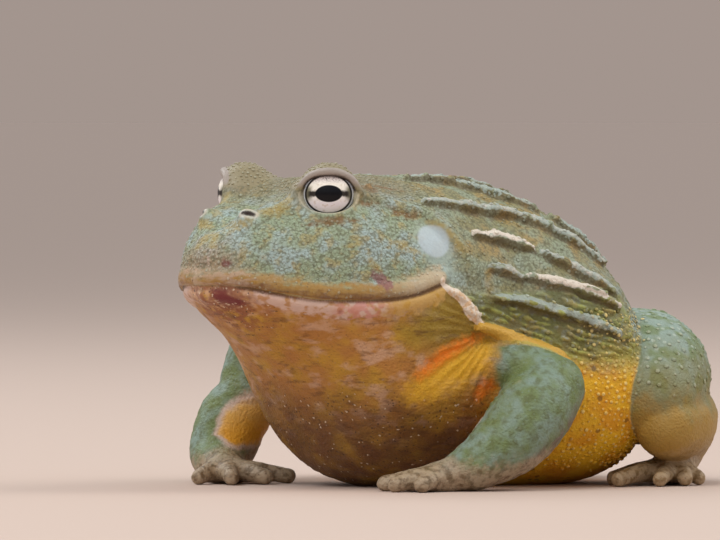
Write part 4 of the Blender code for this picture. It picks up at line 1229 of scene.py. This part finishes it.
class SkinPaint(Paint):
    """The skin's material, with the places, clouds and cells that its parts share."""

    def __init__(self):
        super().__init__("skin")
        self.x, self.y, self.z = self.split(self.where)
        self.pebbles = self.pattern("Voronoi", self.warped(2.2, 1.6, 50), 0.92, 41)
        # Painted shade: the low places between the bump's granules, darkened.
        self.pit_shade = self.fade(self.pebbles, 0.4, 0.75)
        self.patchy = self.noise(1.6, 31)
        self.fine = self.noise(0.6, 32)
        self.streaks = self.noise(1.5, 33, 3.0, (0.3, 0.22, 1.0))

    def cloud(self, size, seed, low=0.45, high=0.6):
        return self.fade(self.noise(size, seed), low, high)

    def edge(self, axis, sway, size, seed, low, high):
        """A fade along an axis, its edge swayed by noise."""
        return self.fade(axis + sway * self.noise(size, seed), low, high)

    def back(self):
        """Olive, ochre and green-grey clouds, with painted shade darkening the low places between granules.
        """
        return self.mix(
            OLIVE,
            (OCHRE, self.cloud(11, 1)),
            (GREEN_GREY, self.cloud(8, 2) * 0.8),
            (BLUE_GREY, self.edge(self.z, 14, 9, 3, 78, 58) * self.cloud(4, 4, 0.42, 0.62) * 0.75),
            (OLIVE_DARK, self.cloud(2.6, 5, 0.56, 0.72) * 0.6),
            (PIT_SHADE, self.pit_shade * 0.6),
        )

    def neck(self):
        """Wrinkled olive and green skin, left pale along the wrinkles, with painted shade in the troughs
        between them.
        """
        return self.mix(
            OLIVE_GREEN,
            (MUSTARD, self.cloud(6, 6, 0.42, 0.62) * 0.8),
            (GREEN_GREY, self.edge(self.z, 8, 6, 51, 56, 66) * 0.8),
            (CREST_GREY, self.cloud(2.2, 7, 0.55, 0.68) * 0.55),
            # Painted shade between the wrinkles.
            (OLIVE_DARK, self.mask("wrinkle_shade") * 0.75),
        )

    def head(self):
        """Blue-green granular skin, olive towards the top of the head and beige at the snout."""
        upright = self.noise(1.8, 52, 3.0, (1.0, 1.0, 0.25))
        beige = self.mix(SNOUT_BEIGE, (SNOUT_ROSE, self.fade(upright, 0.5, 0.64)))
        low = self.fade(self.z + 4 * self.patchy, 76, 68)
        return self.mix(
            SEA_GREEN,
            (BLUE_GREY, self.cloud(8, 8, 0.4, 0.6)),
            (MUSTARD, self.cloud(3.4, 9, 0.5, 0.66) * 0.6),
            (TOP_OLIVE, self.edge(self.z, 8, 6, 10, 84, 93) * 0.85),
            (beige, self.edge(self.y, 8, 5, 11, -78, -84) * (0.45 + 0.4 * low)),
            # Painted shade between the granules.
            (PIT_SHADE, self.pit_shade * 0.6),
            (OLIVE_DARK, self.cloud(1.5, 12, 0.6, 0.74) * 0.45),
        )

    def throat(self):
        """Ochre and rose in front, olive at the jaw's corner, brown below as part colour and part painted
        shade, all finely streaked.
        """
        blotch = self.noise(4.5, 14, 4.0, (0.6, 0.6, 1.0))
        near_lip = self.fade(self.mask("lower_lip"), 0.1, 0.5)
        rear = self.edge(self.y, 14, 10, 16, -44, -28) * self.fade(self.z, 36, 46)
        low = self.edge(self.z, 16, 8, 17, 46, 22)
        chin = self.mask("chin")
        dirty = self.fade(chin + low * 0.8, 0.05, 0.6)
        return self.mix(
            THROAT_OCHRE,
            (THROAT_YELLOW, self.cloud(9, 13, 0.36, 0.72) * 0.8),
            (THROAT_ROSE, self.fade(blotch, 0.5, 0.66) * 0.75),
            (THROAT_ROSE, near_lip * self.cloud(3, 15, 0.4, 0.6) * 0.8),
            (THROAT_OLIVE, rear * 0.85),
            # Brown low on the throat and chest: part its colour, part painted shade near the ground.
            (THROAT_BROWN, low * 0.85),
            (THROAT_YELLOW, low * self.cloud(8, 53, 0.4, 0.8) * 0.4),
            (CHIN_RUST, chin * self.cloud(3, 18, 0.35, 0.6)),
            (THROAT_BROWN, self.fade(self.streaks, 0.52, 0.7) * 0.5),
            (SPECK_DARK, self.specks(self.where, 1.2, 19, 0.45) * (0.25 + 0.6 * dirty)),
            (SPECK_PALE, self.specks(self.warped(1.0, 1.2, 54), 1.3, 20, 0.16) * dirty * 0.75),
        )

    def belly(self):
        return self.mix(
            BELLY_YELLOW,
            (BELLY_AMBER, self.cloud(10, 21, 0.42, 0.62)),
            (OLIVE_GREEN, self.fade(self.z + 8 * self.patchy, 36, 44) * 0.7),
            (THROAT_BROWN, self.specks(self.where, 3.0, 22, 0.3, 0.35) * 0.6),
        )

    def arms(self):
        """Green with blue-grey and olive mottling, brown and sandy to the rear and below."""
        patch = self.mask("inner_arm") + 0.5 * (self.noise(3, 55, 3.0) - 0.5)
        rear = self.mask("low_face") * (0.35 + 0.65 * self.cloud(4, 26, 0.4, 0.62))
        low = self.fade(self.z + 6 * self.patchy, 25, 17)
        return self.mix(
            ARM_GREEN,
            (ARM_BLUE, self.cloud(7, 23, 0.36, 0.68)),
            (ARM_OLIVE, self.cloud(2.4, 24, 0.46, 0.7) * 0.6),
            (ARM_BLUE, self.specks(self.where, 1.1, 25, 0.4, 0.4) * 0.35),
            (ARM_PURPLE, rear * 0.8),
            (LIP_ROSE, self.fade(patch, 0.05, 0.45) * 0.75),
            (YELLOW, self.fade(patch, 0.4, 1.0) * 0.75),
            (BELLY_AMBER, self.fade(patch, 0.5, 1.0) * low * 0.8),
        )

    def legs(self):
        """Blue-grey above with green clouds, golden below."""
        uneven = self.z + 14 * self.noise(6, 30) + 6 * self.noise(2, 62)
        return self.mix(
            LEG_BLUE,
            (ARM_GREEN, self.cloud(7, 28, 0.45, 0.62) * 0.85),
            (GRAIN_PALE, self.specks(self.where, 2.6, 29, 0.5) * 0.5),
            (LEG_OLIVE, self.fade(uneven, 56, 40) * 0.75),
            (LEG_GOLD, self.fade(uneven, 42, 28) * 0.85),
        )

    def limbs(self):
        """Arms and legs, sandy at the ground and on hands and feet."""
        leg = self.mask("leg")
        sandy = self.mix(SAND, (SAND_DARK, self.cloud(2.2, 34, 0.42, 0.68)))
        low = self.fade(self.z + 8 * self.patchy + -5 * self.mask("low_face"), 15, 8)
        ends = self.fade(self.mask("hand") + self.mask("foot"), 0.2, 0.9)
        return self.mix(
            self.arms(),
            (self.legs(), leg),
            (sandy, low * (0.8 - 0.5 * leg)),
            (sandy, ends * 0.7),
            (SPECK_DARK, self.specks(self.where, 0.9, 35, 0.22) * low * 0.5),
        )

    def upper_lip(self):
        """Olive to ochre, brown as painted shade at the mouth's line, pale to the rear: the shade and its
        cover.
        """
        streaked = self.mask("upper_lip") + 0.5 * (self.streaks - 0.5) + 0.3 * (self.patchy - 0.5)
        front = self.fade(self.y + 6 * self.patchy, -78, -82)
        shade = self.mix(
            LIP_OLIVE,
            (LIP_OCHRE, self.fade(streaked, 0.4, 0.62)),
            # Painted shade where the lip rolls under towards the mouth's line.
            (LIP_SHADE, self.fade(streaked, 0.64, 0.88)),
            (SNOUT_ROSE, front * self.fade(self.streaks, 0.4, 0.6) * 0.6),
            (LIP_REAR, self.fade(self.y, -56, -38) * 0.85),
            (SPECK_DARK, self.specks(self.where, 1.1, 56, 0.2) * 0.5),
        )
        return shade, self.fade(streaked, 0.28, 0.62) * 0.85

    def lower_lip(self):
        """Rose with ochre clouds, pinker in the middle and yellow to the rear: the shade and its cover."""
        middle = self.fade(self.y, -66, -60) * self.fade(self.y, -46, -52)
        shade = self.mix(
            LIP_ROSE,
            (THROAT_OCHRE, self.cloud(3, 36, 0.5, 0.66) * 0.8),
            (LIP_PINK, middle * self.cloud(2.5, 57, 0.36, 0.56) * 0.75),
            (THROAT_YELLOW, self.fade(self.y + 8 * self.patchy, -52, -42) * 0.8),
        )
        ragged = self.mask("lower_lip") + 0.55 * (self.patchy - 0.5) + 0.4 * (self.streaks - 0.5)
        clean = 1 - self.fade(self.mask("chin"), 0.55, 0.85) * 0.85
        return shade, self.fade(ragged, 0.42, 0.62) * clean * 0.85

    def grit(self):
        """Pale grains of sand on the sore chin: their cover."""
        grains = self.specks(self.warped(1.0, 1.2, 58), 1.0, 59, 0.4, 0.4)
        return grains * self.fade(self.mask("sore"), 0.1, 0.6) * 0.7

    def on(self, name, shade, strength=1.0, ragged=0.0, whole=0.7):
        """A shade and its cover by a mask, whose edge is broken up by noise where ragged."""
        amount = self.mask(name)
        if ragged:
            amount = self.fade(amount + ragged * (self.patchy - 0.5), 0.2, whole)
        return shade, amount * strength


def skin_material():
    """Every part's colours laid over one another, with gloss and fine relief."""
    paint = SkinPaint()
    flesh = paint.mix(paint.throat(), (paint.belly(), paint.fade(paint.y + 10 * paint.patchy, -14, 4)))
    fold = paint.mix(CREST_PALE, (OCHRE_PALE, paint.cloud(1.6, 61, 0.44, 0.62) * 0.6))
    tip = paint.fade(paint.mask("tip"), 0.1, 1.0) * paint.mask("tint")
    cream = paint.mask("cream")
    colour = paint.mix(
        paint.back(),
        (paint.head(), paint.mask("head")),
        paint.on("wrinkled", paint.neck(), 0.9, 0.4),
        paint.on("glow", BLUE_GREY, 0.6),
        paint.on("ochre", MUSTARD, 0.8, 1.2, 1.1),
        paint.on("rust", RUST, 0.85, 1.4, 1.1),
        (flesh, paint.mask("under")),
        # Painted shadow under the ridges.
        paint.on("ridge_shadow", RIDGE_SHADOW, 0.5, 0.9),
        paint.on("crest", CREST_GREY, 0.65, 1.2),
        paint.on("pale", CREST_PALE, 0.85, 0.9, 0.95),
        paint.upper_lip(),
        paint.lower_lip(),
        # Painted shade in the crease of the mouth's line.
        paint.on("mouth", MOUTH_SHADE, 0.85),
        paint.on("purple", PURPLE, 0.75, 1.2),
        paint.on("sore", SORE_BROWN, 0.75, 1.2, 1.0),
        paint.on("raw", RAW_RED, 0.85, 1.0, 1.0),
        (SPECK_PALE, paint.grit()),
        paint.on("ear", EAR_BLUE, 0.7, 0.4, 1.0),
        paint.on("nostril", CREST_PALE, 0.45),
        # Painted shade in the nostrils' slits.
        paint.on("slit", NOSTRIL_SHADE),
        paint.on("lid", LID_GREY, 0.75, 0.5),
        paint.on("lid_low", LID_LOW, 0.4, 0.5),
        paint.on("rim", LID_RIM, 0.8),
        # Painted shadow under the upper lid's rim.
        paint.on("lid_shadow", LID_SHADOW, 0.9),
        paint.on("cone_base", RUST, 0.55, 0.4),
        paint.on("cone", OCHRE_PALE, 0.85),
        paint.on("yellow", YELLOW, 0.9, 0.5, 1.0),
        paint.on("orange", ORANGE, 0.95, 0.6, 1.0),
        paint.on("flank_fold", FOLD_GOLD, 0.85, 0.4),
        paint.on("white_fold", fold, 0.95, 0.3),
        (paint.limbs(), paint.fade(paint.mask("arm") + paint.mask("leg"), 0.2, 0.8)),
        (paint.mix(GRAIN_PALE, (WART_CREAM, cream)), tip * (0.35 + 0.55 * cream)),
    )
    quiet = paint.mask("quiet")
    height = (paint.pebbles * -0.55 + 0.35 * paint.fine + 0.3 * paint.streaks) * (1 - quiet * 0.8)
    return paint.finish(
        Base_Color=colour, Normal=paint.bump(height, 0.5, 0.85),
        Roughness=0.45 + 0.25 * paint.patchy - 0.12 * quiet,
        Specular_IOR_Level=0.4, Coat_Weight=0.05, Coat_Roughness=0.25,
    )


def granule_tree():
    """Low domes scattered evenly over the faces where a mask is high, as one mesh."""
    group = bpy.data.node_groups.new("granules", "GeometryNodeTree")
    kinds = {
        "Geometry": "Geometry", "Spacing": "Float", "Size": "Float", "Height": "Float", "Mask": "String",
        "Cream": "Float", "Seed": "Int", "Material": "Material",
    }
    for name, kind in kinds.items():
        group.interface.new_socket(name, in_out="INPUT", socket_type="NodeSocket" + kind)
    group.interface.new_socket("Geometry", in_out="OUTPUT", socket_type="NodeSocketGeometry")
    tree = Tree(group)
    given = dict(zip(kinds, tree.add("NodeGroupInput", out=tuple(kinds))))
    number = {"data_type": "FLOAT"}

    def draw(low, high, seed):
        return tree.add("FunctionNodeRandomValue", number, {2: low, 3: high, "Seed": seed}, 1)

    def stored(geometry, name, value):
        inputs = {"Geometry": geometry, "Name": name, "Value": value}
        return tree.add("GeometryNodeStoreNamedAttribute", {**number, "domain": "POINT"}, inputs)

    mask = tree.add("GeometryNodeInputNamedAttribute", number, {"Name": given["Mask"]})
    inputs = {
        "Mesh": given["Geometry"], "Distance Min": given["Spacing"], "Density Max": GRANULE_DENSITY,
        "Density Factor": mask, "Seed": given["Seed"],
    }
    settings = {"distribute_method": "POISSON"}
    outputs = ("Points", "Rotation")
    points, rotation = tree.add("GeometryNodeDistributePointsOnFaces", settings, inputs, outputs)
    turn = tree.add("ShaderNodeCombineXYZ", None, {2: draw(0.0, 2 * math.pi, 9)})
    turned = tree.add("FunctionNodeRotateRotation", {"rotation_space": "LOCAL"}, {0: rotation, 1: turn})
    points = stored(points, "tint", draw(0.0, 1.0, 7))
    points = stored(points, "cream", given["Cream"])
    width = draw(0.62, 1.3, given["Seed"]) * given["Size"]
    scale = tree.add("ShaderNodeCombineXYZ", None, {0: width, 1: width, 2: width * given["Height"]})
    sphere = tree.add("GeometryNodeMeshUVSphere", None, {"Segments": 7, "Rings": 5, "Radius": 1.0})
    height = tree.split(tree.add("GeometryNodeInputPosition"))[2]
    low = tree.add("FunctionNodeCompare", {**number, "operation": "LESS_THAN"}, {0: height, 1: -0.5})
    inputs = {"Geometry": sphere, "Selection": low}
    dome = stored(tree.add("GeometryNodeDeleteGeometry", {"domain": "POINT"}, inputs), "tip", height)
    inputs = {"Points": points, "Instance": dome, "Rotation": turned, "Scale": scale}
    mesh = tree.add("GeometryNodeInstanceOnPoints", None, inputs)
    for step in ("RealizeInstances", "SetShadeSmooth"):
        mesh = tree.add("GeometryNode" + step, None, {"Geometry": mesh})
    mesh = tree.add("GeometryNodeSetMaterial", None, {"Geometry": mesh, "Material": given["Material"]})
    result = group.nodes.new("NodeGroupOutput")
    group.links.new(mesh.socket, result.inputs[0])
    return group


GRANULE_DENSITY = 4e6
# Granules and warts: name, mask, spacing, radius, height for its radius, and how cream it is.
GRANULES = (
    ("head_granules", "head_grain", 1.3, 0.5, 0.34, 0.0),
    ("back_granules", "back_grain", 1.9, 0.62, 0.45, 0.0),
    ("neck_granules", "neck_grain", 1.9, 0.6, 0.45, 0.0),
    ("flank_warts", "warty", 1.55, 0.62, 0.7, 1.0),
    ("leg_warts", "leg_grain", 3.0, 0.75, 0.45, 0.2),
    ("lid_granules", "lid_grain", 1.3, 0.42, 0.7, 0.15),
)


def set_inputs(modifier, values):
    """Sets a Geometry Nodes modifier's inputs by their names in its tree."""
    for item in modifier.node_group.interface.items_tree:
        if item.item_type == "SOCKET" and item.in_out == "INPUT" and item.name in values:
            modifier[item.identifier] = values[item.name]


def make_granules(skin, tree, material):
    pieces = []
    for seed, (name, mask, spacing, size, height, cream) in enumerate(GRANULES):
        piece = add_object(name, skin.data.copy())
        modifier = piece.modifiers.new("granules", "NODES")
        modifier.node_group = tree
        set_inputs(modifier, {
            "Spacing": spacing * MM, "Size": size * MM, "Height": height, "Mask": mask,
            "Cream": cream, "Seed": seed + 1, "Material": material,
        })
        pieces.append(plain_mesh(piece))
    return pieces


IRIS_RADIUS = 6.75
IRIS_FLATNESS = 1.18
IRIS_UP = -0.3
PUPIL = {"up": -0.25, "half_width": 3.9, "half_height": 2.45, "tail": 5.9}


def eye_material():
    """White iris with a thin dark ring, a level almond pupil and a speckled top."""
    paint = Paint("eye")
    across, up, _ = paint.split(paint.mask("eye_place", "Vector"))
    level = up - PUPIL["up"]
    tipped = (up - IRIS_UP) * IRIS_FLATNESS
    radius = (across * across + tipped * tipped).root()
    wide = across / PUPIL["half_width"]
    tall = level / PUPIL["half_height"]
    almond = wide * wide + tall * tall
    spread = across.size()
    taper = paint.fade(spread, PUPIL["tail"] + 0.9, PUPIL["tail"] - 0.6)
    tail = taper * paint.fade(level.size() + 0.6 * paint.noise(0.6, 5), 1.5, 0.75)
    speck = paint.fade(paint.noise(0.3, 2), 0.5, 0.62) * paint.fade(up, 2.4, 4.6)
    sides = paint.fade(spread, 4.2, 6.0) * paint.fade(up.size(), 3.0, 1.0)
    colour = paint.mix(
        tone(244, 238, 226),
        (tone(236, 230, 236), paint.fade(up, 0.0, -3.5)),
        (tone(196, 176, 150), paint.fade(paint.noise(1.2, 1), 0.56, 0.7) * 0.4),
        (tone(176, 150, 158), paint.fade(up, 2.2, 4.6) * 0.5),
        (tone(60, 48, 44), speck * 0.85),
        (tone(84, 82, 46), sides * 0.85),
        (tone(24, 16, 12), tail * 0.97),
        (tone(3, 4, 10), paint.fade(almond, 1.1, 0.95)),
        (tone(30, 26, 26), paint.fade(radius, IRIS_RADIUS - 0.55, IRIS_RADIUS - 0.2)),
        (tone(238, 244, 252), paint.fade(radius, IRIS_RADIUS + 0.1, IRIS_RADIUS + 0.3)),
    )
    height = paint.noise(0.5, 3) * paint.fade(almond, 1.0, 1.6)
    return paint.finish(
        Base_Color=colour, Normal=paint.bump(height, 0.08, 0.4), Roughness=0.35,
        Specular_IOR_Level=0.12, Coat_Weight=0.25, Coat_Roughness=0.04,
    )


def make_eye(word, side, material):
    centre, across, up, out = eye_frame(side)
    rings, around = 40, 64
    polar = np.linspace(0, math.pi, rings + 1)[1:-1]
    turn = np.linspace(0, 2 * math.pi, around, endpoint=False)
    local = [(0, 0, 1)]
    for angle in polar:
        for phi in turn:
            local.append((math.sin(angle) * math.cos(phi), math.sin(angle) * math.sin(phi), math.cos(angle)))
    local.append((0, 0, -1))
    local = np.array(local) * EYE_RADIUS
    points = centre + local[:, :1] * across + local[:, 1:2] * up + local[:, 2:] * out
    faces = [(0, 1 + i, 1 + (i + 1) % around) for i in range(around)]
    for ring in range(len(polar) - 1):
        a, b = 1 + ring * around, 1 + (ring + 1) * around
        faces += [(a + i, b + i, b + (i + 1) % around, a + (i + 1) % around) for i in range(around)]
    last, end = 1 + (len(polar) - 1) * around, len(local) - 1
    faces += [(last + (i + 1) % around, last + i, end) for i in range(around)]
    mesh = bpy.data.meshes.new("eyeball_" + word)
    mesh.from_pydata(points * MM, [], faces)
    layer = mesh.attributes.new("eye_place", "FLOAT_VECTOR", "POINT")
    layer.data.foreach_set("vector", (local * (side, 1, 1)).astype(np.float32).ravel())
    mesh.materials.append(material)
    mesh.shade_smooth()
    return add_object("eyeball_" + word, mesh)


CAMERA = {"azimuth": 50.0, "elevation": 0.9, "distance": 3.0, "lens": 504.0, "aside": -21.4, "height": 63.7}
SENSOR_WIDTH = 36.0
FLOOR_SIZE = 400.0


def facing(way):
    """The turn that makes a camera or lamp look against a direction."""
    return (-way).to_track_quat("-Z", "Y").to_euler()


def make_camera():
    """The photo's view: level with the frog, from its left front."""
    azimuth = math.radians(CAMERA["azimuth"])
    elevation = math.radians(CAMERA["elevation"])
    aside = CAMERA["aside"] * MM
    aim = Vector((aside * math.cos(azimuth), aside * math.sin(azimuth), CAMERA["height"] * MM))
    level = math.cos(elevation)
    way = Vector((math.sin(azimuth) * level, -math.cos(azimuth) * level, math.sin(elevation)))
    camera = add_object("camera", bpy.data.cameras.new("camera"))
    camera.data.lens = CAMERA["lens"]
    camera.data.sensor_width = SENSOR_WIDTH
    camera.data.clip_end = 100.0
    camera.location = aim + way * CAMERA["distance"]
    camera.rotation_euler = facing(way)
    bpy.context.scene.camera = camera


# Soft lamps: place in metres, size in metres, power in watts and colour.
LAMPS = (
    ((0.4, -1.2, 1.8), 1.6, 22.0, (1.0, 0.97, 0.93)),
    ((-1.5, -0.2, 1.5), 1.4, 13.0, (0.93, 0.97, 1.0)),
    ((0.9, 1.4, 1.6), 1.4, 17.0, (1.0, 0.98, 0.95)),
)
LAMP_AIM = Vector((0, 0, 0.04))
FLOOR_TONE = (198, 177, 164)
SKY = (0.62, 0.63, 0.65, 1)
HORIZON = (0.365, 0.3, 0.27, 1)
HORIZON_RISE = 0.3


def make_floor():
    mesh = bpy.data.meshes.new("floor")
    half = FLOOR_SIZE / 2
    corners = [(-half, -half, 0), (half, -half, 0), (half, half, 0), (-half, half, 0)]
    mesh.from_pydata(corners, [], [(0, 1, 2, 3)])
    floor = add_object("floor", mesh)
    mesh.materials.append(Paint("floor").finish(Base_Color=tone(*FLOOR_TONE), Roughness=0.9))


def make_lamps():
    for number, (place, size, power, colour) in enumerate(LAMPS):
        lamp = add_object(f"lamp_{number}", bpy.data.lights.new(f"lamp_{number}", "AREA"))
        lamp.data.shape = "DISK"
        lamp.data.size = size
        lamp.data.energy = power
        lamp.data.color = colour
        lamp.location = place
        lamp.rotation_euler = facing(Vector(place) - LAMP_AIM)
        lamp.visible_camera = False


def make_sky():
    """A soft sky that is darker at the horizon, where it meets the floor."""
    world = bpy.data.worlds.new("studio")
    world.use_nodes = True
    sky = Tree(world.node_tree)
    rise = sky.fade(sky.split(sky.add("ShaderNodeTexCoord", out="Generated"))[2], 0.0, HORIZON_RISE)
    sky.feed(world.node_tree.nodes["Background"].inputs["Color"], sky.mix(HORIZON, (SKY, rise)))
    bpy.context.scene.world = world
    bpy.context.scene.view_settings.view_transform = "Standard"


PAIRS = ("ear_disc", "upper_arm", "forearm", "hand", "thigh", "shank", "foot")
FLESH = ("head", "lower_jaw", "torso", *(f"{part}_{side}" for part in PAIRS for side in ("left", "right")))


def main():
    trunk, folds = trunk_field()
    paths = ridge_paths(trunk)
    ridges_on(trunk, paths)
    limbs = limb_shapes()
    skin, field = make_skin(trunk, limbs)
    places = places_of(skin.data)
    keep_marks(skin.data, marks(places, slope(field, places), trunk, limbs, paths, folds))
    material = skin_material()
    skin.data.materials.append(material)
    skin.data.shade_smooth()
    grains = make_granules(skin, granule_tree(), material)
    for piece in (skin, *grains):
        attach(piece, "root")
    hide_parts(*FLESH)
    eye = eye_material()
    for word, side in (("left", 1), ("right", -1)):
        ball_piece = make_eye(word, side, eye)
        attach(ball_piece, "root")
        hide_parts("eye_" + word)
    make_floor()
    make_lamps()
    make_sky()
    make_camera()


main()
